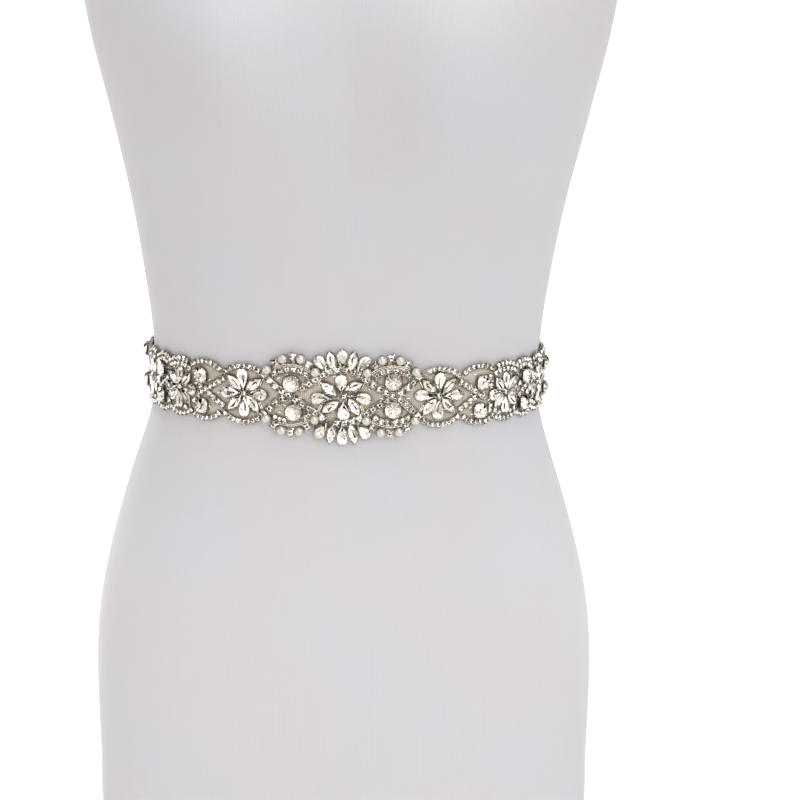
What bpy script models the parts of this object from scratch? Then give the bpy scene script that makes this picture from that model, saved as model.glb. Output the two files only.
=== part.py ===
"""Beaded bridal sash tied round a table-top dress form.

Metres, +Z up, the sash's front faces -Y and its bow faces +Y.  The form is a limbless
torso that stands on its flat base.  A satin ribbon runs round the waist and is tied in
a bow at the back, and a stiff beaded applique lies on it at the front.

Everything worn is laid out in the form's own skin coordinates: `s` is the distance
round the waist from the front centre (towards +X), `z` the height on a level sash and
`h` the height above the skin.  The tables are in millimetres unless a name says
otherwise.
"""

import math

import bmesh
import bpy
from mathutils import Vector
from mathutils.geometry import delaunay_2d_cdt

MM = 0.001

# ---------------------------------------------------------------- driving dimensions
WAIST_HEIGHT = 293.5        # middle of the sash above the table
AXIS_Y = -2.1               # the form's axis, set forward so that the whole part is centred
FORM_COLUMNS = 52           # facets round the form
RIBBON_WIDTH = 25.0
FLAT = RIBBON_WIDTH / 2.0   # half width of the ribbon where it lies flat
RIBBON_WALL = 1.0
SEAT_GAP = 0.35             # free space between the form and the ribbon on it
APPLIQUE_GAP = 0.45         # free space between the ribbon and the applique
APPLIQUE_WALL = 1.0
KNOT_DROP = 7.0             # the bow's knot hangs this far below the sash's middle
SASH_TILT = 0.009           # the sash sits lower towards +X, by this share of x
APPLIQUE_ASIDE = -1.8       # the applique's middle lies this far round from the front centre

RIBBON_INNER = SEAT_GAP
RIBBON_OUTER = RIBBON_INNER + RIBBON_WALL
APPLIQUE_INNER = RIBBON_OUTER + APPLIQUE_GAP
APPLIQUE_FACE = APPLIQUE_INNER + APPLIQUE_WALL

# The form's level sections: height, how far the middle lies aside towards +X, half width,
# reach to the front and to the back, and squareness (2 is an ellipse).
FORM_SECTIONS = [
    # height, aside, half_width, front, back, squareness
    (0.0, -3.4, 151.5, 94.0, 112.0, 2.20),
    (4.0, -3.4, 153.0, 95.5, 113.5, 2.20),
    (45.0, -3.4, 154.8, 97.5, 117.5, 2.20),
    (100.0, -3.4, 156.4, 99.0, 120.0, 2.20),
    (140.0, -3.4, 154.4, 98.5, 117.5, 2.20),
    (176.0, -3.5, 147.8, 96.5, 111.0, 2.22),
    (214.0, -3.6, 137.6, 93.0, 102.0, 2.25),
    (240.0, -3.5, 129.6, 90.5, 95.5, 2.28),
    (266.0, -2.7, 121.9, 88.6, 89.6, 2.30),
    (290.0, -2.0, 119.0, 88.0, 87.0, 2.30),
    (314.0, -1.7, 120.3, 89.5, 88.0, 2.30),
    (354.0, -1.4, 125.6, 93.5, 93.0, 2.28),
    (405.0, -0.6, 135.0, 98.0, 101.0, 2.25),
    (456.0, 0.2, 147.2, 101.0, 109.0, 2.25),
    (507.0, 0.2, 159.6, 101.0, 113.5, 2.30),
    (552.0, 0.1, 166.6, 97.0, 114.0, 2.30),
    (592.0, 0.0, 168.0, 89.0, 110.0, 2.30),
    (626.0, 0.0, 165.6, 78.5, 101.0, 2.25),
    (648.0, 0.0, 158.0, 69.5, 90.0, 2.20),
    (663.0, 0.0, 142.0, 62.5, 80.0, 2.10),
    (675.0, 0.0, 118.0, 57.0, 71.5, 2.00),
    (687.0, 0.0, 90.0, 53.5, 65.0, 2.00),
    (702.0, 0.0, 67.5, 51.0, 59.0, 2.00),
    (722.0, 0.0, 57.0, 49.5, 54.5, 2.00),
    (741.0, 0.0, 54.5, 48.5, 52.0, 2.00),
    (745.0, 0.0, 53.0, 47.0, 50.5, 2.00),
]
FORM_FACET_HEIGHTS = [
    0.0, 4.0, 52.0, 100.0, 140.0, 176.0, 208.0, 237.0, 258.5, 270.5, 281.5, 293.5, 305.5,
    316.5, 328.0, 352.0, 385.0, 418.0, 444.0, 468.0, 496.0, 530.0, 575.0, 620.0, 648.0,
    663.0, 675.0, 687.0, 702.0, 722.0, 741.0, 745.0,
]
BUST_APEX_X, BUST_APEX_HEIGHT, BUST_RISE = 74.0, 478.0, 27.0
BUST_SPREAD_X, BUST_SPREAD_UP, BUST_SPREAD_DOWN = 36.0, 66.0, 40.0

# ------------------------------------------------------------------ the beaded applique
# Motifs from the medallion outwards, mirrored to both sides.  A scallop of chain stones
# arches over and under each; a "flower" holds eight petal stones, a "pair" two round
# stones one above the other with a crossing of chain between, and "tip" ends it all.
MOTIFS = [
    # kind, place, half_span, peak, stones_at, stone_length, stone_width
    ("great_pair", 30.3, 10.8, 17.8, 8.5, 10.3, 10.3),
    ("flower", 58.6, 13.4, 17.3, 9.8, 10.9, 6.2),
    ("pair", 84.8, 11.5, 17.8, 8.7, 9.0, 9.0),
    ("flower", 103.9, 12.4, 17.1, 7.6, 9.4, 5.3),
    ("pair", 121.0, 10.0, 17.2, 8.4, 8.4, 8.4),
    ("flower", 138.0, 11.6, 16.6, 7.4, 9.0, 5.2),
    ("pair", 154.8, 10.0, 16.6, 8.2, 8.2, 8.2),
    ("flower", 171.6, 11.4, 15.6, 7.2, 8.8, 5.0),
    ("pair", 188.2, 9.4, 14.4, 7.6, 7.6, 7.6),
    ("tip", 196.0, 9.2, 9.8, 4.6, 6.0, 6.0),
]
SCALLOP_ROUND = 1.35        # a scallop is an oval this much wider than its own span
SCALLOPS_FROM = 47.2        # the scalloped edge starts here, after the great pair's border
MEDALLION_PETALS = [
    # across, up, lean_degrees, length, width, cut
    (0.0, 8.2, 92.0, 10.4, 6.6, "teardrop"),
    (7.2, 6.3, 22.0, 10.8, 5.2, "marquise"),
    (11.9, -0.6, -15.0, 11.4, 6.6, "teardrop"),
    (7.7, -6.2, -59.0, 11.2, 5.2, "marquise"),
    (1.6, -8.8, -88.0, 10.2, 6.6, "teardrop"),
    (-6.3, -6.5, 213.0, 11.2, 5.2, "marquise"),
    (-12.0, -1.3, 180.0, 11.4, 6.6, "teardrop"),
    (-7.4, 4.6, 137.0, 11.4, 5.2, "marquise"),
]
STRAND = [
    # place, up: the strand over the medallion that crosses its twin between the great pair
    (0.0, 16.6), (4.5, 16.2), (8.9, 14.6), (13.0, 12.1), (17.0, 9.2), (20.9, 6.4),
    (24.8, 3.9), (28.8, 1.8), (32.6, -0.5), (36.3, -3.0), (39.8, -6.0), (43.0, -9.2),
    (45.8, -12.2),
]
CHAIN_HALF_WIDTH, CHAIN_RISE = 1.4, 1.8
CHAIN_STEP = 4.4            # spacing of the points along a chain's ridge
BACKING_MARGIN = 1.6        # net left showing outside the chain stones
STONE_RISE, PEARL_RISE, PETAL_RISE = 3.4, 4.2, 2.9
# Levels of a stone: share of its size, share of its rise.
PETAL_LEVELS = [(0.58, 1.0), (1.0, 0.0)]
DOME_LEVELS = [(0.46, 1.0), (0.84, 0.72), (1.0, 0.0)]
CROWN_LENGTH, CROWN_WIDTH, CROWN_ASIDE = 10.2, 5.6, 0.5
CROWN_STONES = [
    # across, up, lean_degrees: five petal stones over and under the medallion
    (0.0, 23.9, 90.0),
    (6.5, 23.1, 76.0),
    (13.2, 21.4, 56.0),
]
GREAT_PAIR_BORDER = [
    # place, up, size, kind: the outer border of pearls and single stones
    (15.3, 15.2, 6.0, "pearl"),
    (19.5, 19.5, 4.6, "stone"),
    (23.8, 23.0, 6.0, "pearl"),
    (29.1, 24.2, 4.6, "stone"),
    (34.4, 22.9, 6.0, "pearl"),
    (39.3, 20.1, 4.6, "stone"),
    (43.7, 16.6, 6.0, "pearl"),
]
OUTLINE_STEP = 2.6          # spacing of the points along the scalloped edge

# -------------------------------------------------------------------------- the ribbon
BAND_STATIONS = 52
BAND_SECTIONS = [
    # from_knot, lift, half_width, height: the band's run into the knot, mirrored
    (7.2, 3.4, 3.8, 2.2),
    (13.0, 4.8, 5.8, 1.7),
    (20.0, 5.9, 8.2, 1.2),
    (32.0, 6.6, 10.9, 0.95),
    (48.0, 7.2, 12.3, 0.85),
    (66.0, 7.0, FLAT, 0.85),
]
BAND_PLEATS, BAND_PLEAT_RISE, BAND_PLEAT_REACH = 3.0, 0.75, 16.0

LOOPS = {
    # reach, lift, half_width, front_height, back_height: from the knot to the fold
    "bow_loop_left": [
        (7.2, 1.5, 4.4, 8.6, 5.4),
        (14.0, 1.0, 8.0, 10.2, 5.0),
        (23.0, -1.8, 9.6, 12.2, 4.4),
        (34.0, -5.6, 10.8, 13.6, 4.2),
        (48.0, -9.4, 11.8, 13.2, 4.6),
        (61.0, -11.9, 12.2, 10.8, 5.6),
        (69.5, -12.9, 12.2, 8.9, 6.6),
    ],
    "bow_loop_right": [
        (7.2, 2.6, 3.4, 8.6, 5.4),
        (13.0, 3.4, 5.4, 10.0, 5.2),
        (21.0, 1.6, 8.4, 12.0, 4.8),
        (31.0, -3.4, 11.2, 13.4, 4.4),
        (42.0, -8.4, 12.0, 13.8, 4.4),
        (56.0, -13.2, 12.3, 12.0, 5.2),
        (71.0, -17.0, 12.2, 9.0, 6.8),
    ],
}
LOOP_SIDE = {"bow_loop_left": -1.0, "bow_loop_right": 1.0}
LOOP_END_SLANT = {"bow_loop_left": 1.8, "bow_loop_right": 3.0}
LOOP_PLEATS, LOOP_PLEAT_RISE, LOOP_PLEAT_REACH = 2.5, 0.7, 15.0

TAILS = {
    # across, drop, half_width, height, turn_degrees, fold: fold is how far the middle
    # of the ribbon stands out from its two edges
    "ribbon_tail_left": [
        (-4.2, -9.6, 3.0, 4.8, 10.0, 1.4),
        (-8.6, -14.6, 4.6, 6.4, 22.0, 1.8),
        (-10.0, -22.0, 6.2, 7.2, 48.0, 1.4),
        (-10.4, -32.0, 8.6, 7.6, 46.0, 0.8),
        (-11.2, -46.0, 10.8, 7.4, 34.0, 0.5),
        (-11.6, -66.0, 12.0, 6.2, 24.0, 0.3),
        (-13.4, -100.0, 12.4, 4.4, 13.0, 0.4),
        (-17.0, -140.0, FLAT, 3.2, 5.0, 0.8),
        (-21.5, -180.0, FLAT, 3.0, -5.0, 0.6),
        (-25.0, -220.0, FLAT, 3.8, -10.0, 0.4),
        (-27.5, -252.0, FLAT, 4.4, -12.0, 0.3),
    ],
    "ribbon_tail_right": [
        (8.0, -3.6, 2.2, 3.0, 0.0, 0.5),
        (13.0, -4.6, 2.6, 3.2, -20.0, 0.9),
        (17.6, -8.4, 3.4, 4.6, -48.0, 1.2),
        (19.8, -15.0, 5.0, 6.6, -66.0, 1.2),
        (20.2, -24.0, 7.4, 8.4, -62.0, 0.9),
        (19.8, -36.0, 9.8, 8.8, -50.0, 0.7),
        (19.4, -52.0, 11.4, 7.8, -38.0, 0.5),
        (20.0, -80.0, 12.3, 6.0, -24.0, 0.4),
        (22.6, -120.0, FLAT, 4.4, -12.0, 0.6),
        (26.4, -165.0, FLAT, 3.2, -3.0, 0.8),
        (30.0, -205.0, FLAT, 3.2, 6.0, 0.5),
        (32.4, -244.0, FLAT, 4.0, 10.0, 0.3),
    ],
}
TAIL_END_SLANT = {"ribbon_tail_left": 7.0, "ribbon_tail_right": -7.0}
STRIP_STEPS_PER_SECTION = 2
STRIP_FACETS_ACROSS = 6
BAND_FACETS_ACROSS = 4

KNOT_HALF_WIDTH, KNOT_HALF_HEIGHT = 6.8, 8.2
KNOT_BASE, KNOT_TOP = 0.6, 10.6
KNOT_STATIONS, KNOT_FACETS = 9, 18
KNOT_CREASE_DEPTH = 0.7

# ----------------------------------------------------------------------------- finishes
FINISHES = {
    # colour, roughness
    "jersey": ((0.66, 0.63, 0.66), 0.9),
    "satin": ((0.83, 0.80, 0.64), 0.42),
    "beadwork": ((0.78, 0.76, 0.72), 0.25),
}


# ------------------------------------------------------------------------ small numbers
def smooth_between(rows, where):
    """Read a table smoothly at a value of its first column (Catmull-Rom between rows)."""
    where = min(max(where, rows[0][0]), rows[-1][0])
    last = len(rows) - 2
    k = next((i for i in range(last + 1) if where <= rows[i + 1][0]), last)
    span = rows[k + 1][0] - rows[k][0]
    t = (where - rows[k][0]) / span
    values = []
    for column in range(1, len(rows[0])):
        here, there = rows[k][column], rows[k + 1][column]
        slope = (there - here) / span
        before = slope
        after = slope
        if k > 0:
            before = 0.5 * (slope + (here - rows[k - 1][column]) / (rows[k][0] - rows[k - 1][0]))
        if k < last:
            after = 0.5 * (slope + (rows[k + 2][column] - there) / (rows[k + 2][0] - rows[k + 1][0]))
        # A turning point between rows stays at the row, so the sections never bulge.
        if k > 0 and slope * (here - rows[k - 1][column]) <= 0.0:
            before = 0.0
        if k < last and slope * (rows[k + 2][column] - there) <= 0.0:
            after = 0.0
        a = 2 * t ** 3 - 3 * t ** 2 + 1
        b = t ** 3 - 2 * t ** 2 + t
        c = -2 * t ** 3 + 3 * t ** 2
        d = t ** 3 - t ** 2
        values.append(a * here + b * span * before + c * there + d * span * after)
    return values


def signed_power(value, power):
    return math.copysign(abs(value) ** power, value)


# --------------------------------------------------------------------- the form's skin
def section_point(height, angle):
    """A point of the form's skin; angle 0 is the front centre, a quarter turn is +X."""
    aside, half_width, front, back, squareness = smooth_between(FORM_SECTIONS, height)
    x = half_width * signed_power(math.sin(angle), 2.0 / squareness)
    across = signed_power(math.cos(angle), 2.0 / squareness)
    reach = front if across > 0.0 else back
    y = -reach * across
    if across > 0.0:
        spread = BUST_SPREAD_UP if height > BUST_APEX_HEIGHT else BUST_SPREAD_DOWN
        off_x = (abs(x) - BUST_APEX_X) / BUST_SPREAD_X
        off_z = (height - BUST_APEX_HEIGHT) / spread
        y -= BUST_RISE * math.exp(-0.5 * (off_x ** 2 + off_z ** 2)) * across ** 0.5
    return Vector((x + aside, y + AXIS_Y, height))


def waist_table(steps=1440):
    """Distance round the waist for evenly stepped angles, from the front centre."""
    table = [(0.0, 0.0)]
    before = section_point(WAIST_HEIGHT, 0.0)
    for k in range(1, steps + 1):
        angle = 2.0 * math.pi * k / steps
        point = section_point(WAIST_HEIGHT, angle)
        table.append((table[-1][0] + (point - before).length, angle))
        before = point
    return table


WAIST = waist_table()
WAIST_GIRTH = WAIST[-1][0]
BACK_CENTRE = WAIST_GIRTH / 2.0


def angle_at(s):
    """The section angle that lies s round the waist."""
    s = s % WAIST_GIRTH
    low, high = 0, len(WAIST) - 1
    while high - low > 1:
        middle = (low + high) // 2
        if WAIST[middle][0] <= s:
            low = middle
        else:
            high = middle
    share = (s - WAIST[low][0]) / (WAIST[high][0] - WAIST[low][0])
    return WAIST[low][1] + share * (WAIST[high][1] - WAIST[low][1])


def skin(s, z, h):
    """The point at s round the waist and sash height z that stands h above the skin."""
    z -= SASH_TILT * section_point(z, angle_at(s)).x
    point = section_point(z, angle_at(s))
    along = section_point(z, angle_at(s + 1.0)) - section_point(z, angle_at(s - 1.0))
    upward = section_point(z + 1.0, angle_at(s)) - section_point(z - 1.0, angle_at(s))
    normal = along.cross(upward).normalized()
    return point + normal * h


# ------------------------------------------------------------------------ mesh building
def finish_material(finish):
    """One Principled material for each finish."""
    found = bpy.data.materials.get(finish)
    if found:
        return found
    colour, roughness = FINISHES[finish]
    material = bpy.data.materials.new(finish)
    material.use_nodes = True
    shader = material.node_tree.nodes["Principled BSDF"]
    shader.inputs["Base Color"].default_value = (*colour, 1.0)
    shader.inputs["Roughness"].default_value = roughness
    shader.inputs["Metallic"].default_value = 0.0
    return material


def add_object(name, points, faces, finish, crease_degrees=40.0):
    """Make one closed object from points in millimetres."""
    mesh = bpy.data.meshes.new(name)
    mesh.from_pydata([tuple(Vector(p) * MM) for p in points], [], faces)
    tidy = bmesh.new()
    tidy.from_mesh(mesh)
    bmesh.ops.recalc_face_normals(tidy, faces=tidy.faces)
    bmesh.ops.triangulate(tidy, faces=tidy.faces)
    tidy.to_mesh(mesh)
    tidy.free()
    mesh.shade_smooth()
    mesh.set_sharp_from_angle(angle=math.radians(crease_degrees))
    mesh.materials.append(finish_material(finish))
    thing = bpy.data.objects.new(name, mesh)
    bpy.context.scene.collection.objects.link(thing)
    return thing


def loft_rings(name, rings, finish):
    """Close a stack of equal rings into a solid with a flat cap at each end."""
    count = len(rings[0])
    points = [point for ring in rings for point in ring]
    faces = [tuple(range(count)), tuple(range(len(points) - count, len(points)))]
    for row in range(len(rings) - 1):
        for k in range(count):
            a = row * count + k
            b = row * count + (k + 1) % count
            faces.append((a, b, b + count, a + count))
    return add_object(name, points, faces, finish)


def wall_from_grid(name, grid, wall, finish):
    """Thicken a grid of middle points into a closed wall of one sheet of cloth."""
    rows, columns = len(grid), len(grid[0])
    front, rear = [], []
    for i in range(rows):
        for j in range(columns):
            along = grid[min(i + 1, rows - 1)][j] - grid[max(i - 1, 0)][j]
            across = grid[i][min(j + 1, columns - 1)] - grid[i][max(j - 1, 0)]
            normal = along.cross(across).normalized()
            front.append(grid[i][j] + normal * wall / 2.0)
            rear.append(grid[i][j] - normal * wall / 2.0)
    shift = rows * columns
    faces = []
    for i in range(rows - 1):
        for j in range(columns - 1):
            a = i * columns + j
            b = a + columns
            faces.append((a, a + 1, b + 1, b))
            faces.append((a + shift, b + shift, b + 1 + shift, a + 1 + shift))
    border = [j for j in range(columns)]
    border += [i * columns + columns - 1 for i in range(1, rows)]
    border += [(rows - 1) * columns + j for j in range(columns - 2, -1, -1)]
    border += [i * columns for i in range(rows - 2, 0, -1)]
    for k, a in enumerate(border):
        b = border[(k + 1) % len(border)]
        faces.append((a, b, b + shift, a + shift))
    return add_object(name, front + rear, faces, finish)


# ------------------------------------------------------------------------ the dress form
def build_dress_form():
    """The torso: level rings, flat at the base and closed plainly at the neck."""
    angles = [angle_at(WAIST_GIRTH * k / FORM_COLUMNS) for k in range(FORM_COLUMNS)]
    rings = [[section_point(z, angle) for angle in angles] for z in FORM_FACET_HEIGHTS]
    return loft_rings("dress_form", rings, "jersey")


# ------------------------------------------------------------------------------ ribbon
def build_waist_band():
    """The ribbon's stretch round the waist, gathered into the knot at both ends."""
    run_end = BAND_SECTIONS[-1][0]
    run_steps = 2 * (len(BAND_SECTIONS) - 1)
    run = [BAND_SECTIONS[0][0] + (run_end - BAND_SECTIONS[0][0]) * (k / run_steps) ** 1.3
           for k in range(run_steps + 1)]
    column = WAIST_GIRTH / BAND_STATIONS
    middle = [column * k for k in range(BAND_STATIONS + 1)]
    middle = [s - BACK_CENTRE for s in middle]
    middle = [s for s in middle if abs(s) < BACK_CENTRE - run_end - 0.3 * column]
    stations = [BACK_CENTRE + k for k in run]
    stations += [WAIST_GIRTH + s for s in middle]
    stations += [WAIST_GIRTH + BACK_CENTRE - k for k in reversed(run)]
    grid = []
    for s in stations:
        from_knot = min(s - BACK_CENTRE, WAIST_GIRTH + BACK_CENTRE - s)
        lift, half_width, height = smooth_between(BAND_SECTIONS, from_knot)
        settle = min(max((from_knot - run_end) / run_end, 0.0), 1.0)
        lift = lift + (KNOT_DROP - lift) * settle
        pleat = BAND_PLEAT_RISE * math.exp(-(from_knot - BAND_SECTIONS[0][0]) / BAND_PLEAT_REACH)
        row = []
        for j in range(BAND_FACETS_ACROSS + 1):
            u = 2.0 * j / BAND_FACETS_ACROSS - 1.0
            rise = pleat * (1.0 + math.cos(math.pi * BAND_PLEATS * u))
            z = WAIST_HEIGHT - KNOT_DROP + lift + half_width * u
            row.append(skin(s, z, height + rise))
        grid.append(row)
    return wall_from_grid("ribbon_waist_band", grid, RIBBON_WALL, "satin")


def even_steps(rows, per_row):
    """Values of a table's first column, evenly spaced between its ends."""
    count = per_row * (len(rows) - 1)
    return [rows[0][0] + (rows[-1][0] - rows[0][0]) * k / count for k in range(count + 1)]


def build_loop(name):
    """One bow loop: out along its front layer, round the fold and back behind it."""
    rows = LOOPS[name]
    side = LOOP_SIDE[name]
    reaches = even_steps(rows, STRIP_STEPS_PER_SECTION)
    start, end = reaches[0], reaches[-1]
    lift_end, half_end, front_end, back_end = smooth_between(rows, end)
    path = []
    for reach in reaches:
        lift, half_width, front_height, _ = smooth_between(rows, reach)
        path.append((reach, lift, half_width, front_height, 1.0))
    radius = (front_end - back_end) / 2.0
    for degrees in (45.0, 90.0, 135.0):
        turn = math.radians(degrees)
        height = back_end + radius * (1.0 + math.cos(turn))
        path.append((end + 1.6 * radius * math.sin(turn), lift_end, half_end, height, 0.0))
    for reach in reversed(reaches):
        lift, half_width, _, back_height = smooth_between(rows, reach)
        path.append((reach, lift, half_width, back_height, -1.0))
    grid = []
    for reach, lift, half_width, height, layer in path:
        pleat = LOOP_PLEAT_RISE * math.exp(-(reach - start) / LOOP_PLEAT_REACH) * layer
        slant = LOOP_END_SLANT[name] * max(0.0, (reach - start) / (end - start)) ** 3
        row = []
        for j in range(STRIP_FACETS_ACROSS + 1):
            u = 2.0 * j / STRIP_FACETS_ACROSS - 1.0
            rise = pleat * math.cos(math.pi * LOOP_PLEATS * u)
            s = BACK_CENTRE + side * (reach + slant * u)
            z = WAIST_HEIGHT - KNOT_DROP + lift + half_width * u
            row.append(skin(s, z, height + rise))
        grid.append(row)
    return wall_from_grid(name, grid, RIBBON_WALL, "satin")


def build_tail(name):
    """One hanging ribbon end, folded and turned near the knot and cut on a slant."""
    sections = TAILS[name]
    drops = [-row[1] for row in sections]
    rows = [(drop, row[0], row[2], row[3], row[4], row[5]) for drop, row in zip(drops, sections)]
    stations = []
    for above, below in zip(drops, drops[1:]):
        steps = 2 if below - above < 20.0 else 3
        stations += [above + (below - above) * k / steps for k in range(steps)]
    stations.append(drops[-1])
    grid = []
    for drop in stations:
        across, half_width, height, turn, fold = smooth_between(rows, drop)
        below = smooth_between(rows, drop + 0.5)[0]
        above = smooth_between(rows, drop - 0.5)[0]
        heading = math.atan2(below - above, 1.0)
        turn = math.radians(turn)
        ending = max(0.0, (drop - drops[-2]) / (drops[-1] - drops[-2]))
        row = []
        for j in range(STRIP_FACETS_ACROSS + 1):
            u = 2.0 * j / STRIP_FACETS_ACROSS - 1.0
            sideways = half_width * u * math.cos(turn)
            s = BACK_CENTRE + across + sideways * math.cos(heading)
            h = height + half_width * u * math.sin(turn) + fold * (1.0 - u * u)
            z = WAIST_HEIGHT - KNOT_DROP - drop + sideways * math.sin(heading)
            z -= TAIL_END_SLANT[name] * u * ending
            row.append(skin(s, z, h))
        grid.append(row)
    return wall_from_grid(name, grid, RIBBON_WALL, "satin")


def build_knot():
    """The knot: a rounded block wrapped by the ribbon, with two slanting creases."""
    middle_height = (KNOT_BASE + KNOT_TOP) / 2.0
    half_depth = (KNOT_TOP - KNOT_BASE) / 2.0
    rings = []
    for k in range(KNOT_STATIONS):
        u = 2.0 * k / (KNOT_STATIONS - 1) - 1.0
        fullness = 0.80 + 0.20 * math.cos(0.5 * math.pi * u) ** 0.8
        ring = []
        for j in range(KNOT_FACETS):
            turn = 2.0 * math.pi * j / KNOT_FACETS
            up = signed_power(math.sin(turn), 0.75)
            out = signed_power(math.cos(turn), 0.75)
            crease = math.cos(math.pi * (2.0 * u + 0.9 * up)) if out > 0.0 else 0.0
            depth = half_depth * fullness * out - KNOT_CREASE_DEPTH * crease * max(out, 0.0)
            tall = KNOT_HALF_HEIGHT * fullness * up
            ring.append(skin(BACK_CENTRE + KNOT_HALF_WIDTH * u,
                             WAIST_HEIGHT - KNOT_DROP + tall, middle_height + depth))
        rings.append(ring)
    return loft_rings("bow_knot", rings, "satin")


# --------------------------------------------------------------------- beaded applique
class Stone:
    """A raised stone or pearl seen from above: place, half sizes, lean and rise."""

    def __init__(self, place, up, half_length, half_width, lean, rise, cut, facets):
        self.place, self.up = place, up
        self.half_length, self.half_width = half_length, half_width
        self.lean, self.rise = math.radians(lean), rise
        self.cut = cut                  # pearl, round, marquise or teardrop
        self.facets = facets
        self.levels = PETAL_LEVELS if cut in ("marquise", "teardrop") else DOME_LEVELS

    def outline(self, share):
        """The points of one level of the stone, at a share of its full size."""
        points = []
        for k in range(self.facets):
            turn = 2.0 * math.pi * k / self.facets
            power = 1.35 if self.cut == "marquise" else 1.0
            x = share * signed_power(math.cos(turn), power)
            y = share * signed_power(math.sin(turn), power)
            if self.cut == "teardrop":
                y *= 1.0 + 0.45 * x
            x, y = x * self.half_length, y * self.half_width
            points.append((self.place + x * math.cos(self.lean) - y * math.sin(self.lean),
                           self.up + x * math.sin(self.lean) + y * math.cos(self.lean)))
        return points

    def share_at(self, s, v):
        """0 at the stone's centre, 1 on its outline and more outside it."""
        ds, dv = s - self.place, v - self.up
        x = (ds * math.cos(self.lean) + dv * math.sin(self.lean)) / self.half_length
        y = (dv * math.cos(self.lean) - ds * math.sin(self.lean)) / self.half_width
        if self.cut == "teardrop":
            if abs(x) > 1.5:
                return 2.0
            y /= 1.0 + 0.45 * x
        power = 2.0 / 1.35 if self.cut == "marquise" else 2.0
        return (abs(x) ** power + abs(y) ** power) ** (1.0 / power)

    def rise_at(self, s, v):
        """The stone's height over the backing: its side, its crown and its flat top."""
        share = self.share_at(s, v)
        if share <= self.levels[0][0]:
            return self.rise
        for (inner, high), (outer, low) in zip(self.levels, self.levels[1:]):
            if share <= outer:
                part = (share - inner) / (outer - inner)
                return self.rise * (high + (low - high) * part)
        return 0.0


def flower_stones(place, length, width, petals_at):
    """Eight petals, teardrops and marquises in turn, points to the middle."""
    stones = []
    for k in range(8):
        lean = 90.0 + 45.0 * k
        turn = math.radians(lean)
        cut = "teardrop" if k % 2 == 0 else "marquise"
        narrow = 1.0 if cut == "teardrop" else 0.86
        stones.append(Stone(place + petals_at * math.cos(turn), petals_at * math.sin(turn),
                            length / 2.0, width * narrow / 2.0, lean, PETAL_RISE, cut, 8))
    return stones


def applique_stones():
    """Every raised stone and pearl of the applique, on both sides."""
    stones = [Stone(across, up, length / 2, width / 2, lean, PETAL_RISE, cut, 8)
              for across, up, lean, length, width, cut in MEDALLION_PETALS]
    for kind, place, _, _, stones_at, length, width in MOTIFS:
        for side in (1.0, -1.0):
            s = side * place
            if kind == "flower":
                stones += flower_stones(s, length, width, stones_at)
            elif kind == "tip":
                stones.append(Stone(s + side * stones_at, 0.0, length / 2, width / 2, 0.0,
                                    STONE_RISE, "round", 8))
            else:
                for up in (stones_at, -stones_at):
                    stones.append(Stone(s, up, length / 2, width / 2, 22.5, STONE_RISE, "round", 8))
    for side in (1.0, -1.0):
        for upward in (1.0, -1.0):
            for across, up, lean in CROWN_STONES:
                if across == 0.0 and side < 0.0:
                    continue
                lean = math.degrees(math.atan2(upward * math.sin(math.radians(lean)),
                                               side * math.cos(math.radians(lean))))
                cut = "marquise" if across == CROWN_STONES[1][0] else "teardrop"
                stones.append(Stone(side * across + CROWN_ASIDE, upward * up, CROWN_LENGTH / 2,
                                    CROWN_WIDTH / 2, lean, PETAL_RISE, cut, 8))
            for place, up, size, kind in GREAT_PAIR_BORDER:
                rise = PEARL_RISE if kind == "pearl" else PETAL_RISE
                cut = "pearl" if kind == "pearl" else "round"
                facets = 8 if kind == "pearl" else 6
                stones.append(Stone(side * place, upward * up, size / 2, size / 2, 0.0, rise,
                                    cut, facets))
    return stones


def scallop_reach(motif):
    """Half the width of the oval that a motif's scallop is a part of."""
    kind, _, half_span = motif[:3]
    return half_span if kind == "tip" else SCALLOP_ROUND * half_span


def scallop_height(s, motif, grow=0.0):
    """How high a motif's scallop stands at s, or 0 where it doesn't reach."""
    reach = scallop_reach(motif) + grow
    share = (s - motif[1]) / reach
    return (motif[3] + grow) * math.sqrt(1.0 - share ** 2) if abs(share) < 1.0 else 0.0


def scalloped_edge():
    """The line of chain along one long edge, from the great pair to the tip's end."""
    tip = MOTIFS[-1]
    last = tip[1] + 2.0
    count = round((last - SCALLOPS_FROM) / 1.5)
    line = []
    for k in range(count):
        s = SCALLOPS_FROM + (last - SCALLOPS_FROM) * k / count
        line.append((s, max(scallop_height(s, motif) for motif in MOTIFS[1:-1])))
    for degrees in (77.0, 60.0, 42.0, 22.0, 0.0):
        turn = math.radians(degrees)
        line.append((tip[1] + tip[2] * math.cos(turn), tip[3] * math.sin(turn)))
    return line


def evenly_spaced(points, step):
    """Places at even steps along a line of points."""
    lengths = [0.0]
    for (s1, v1), (s2, v2) in zip(points, points[1:]):
        lengths.append(lengths[-1] + math.hypot(s2 - s1, v2 - v1))
    count = max(1, round(lengths[-1] / step))
    places = []
    for k in range(count + 1):
        at = lengths[-1] * k / count
        i = next(j for j in range(len(points) - 1) if at <= lengths[j + 1] + 1e-6)
        share = (at - lengths[i]) / max(lengths[i + 1] - lengths[i], 1e-9)
        (s1, v1), (s2, v2) = points[i], points[i + 1]
        places.append((s1 + share * (s2 - s1), v1 + share * (v2 - v1)))
    return places


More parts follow.
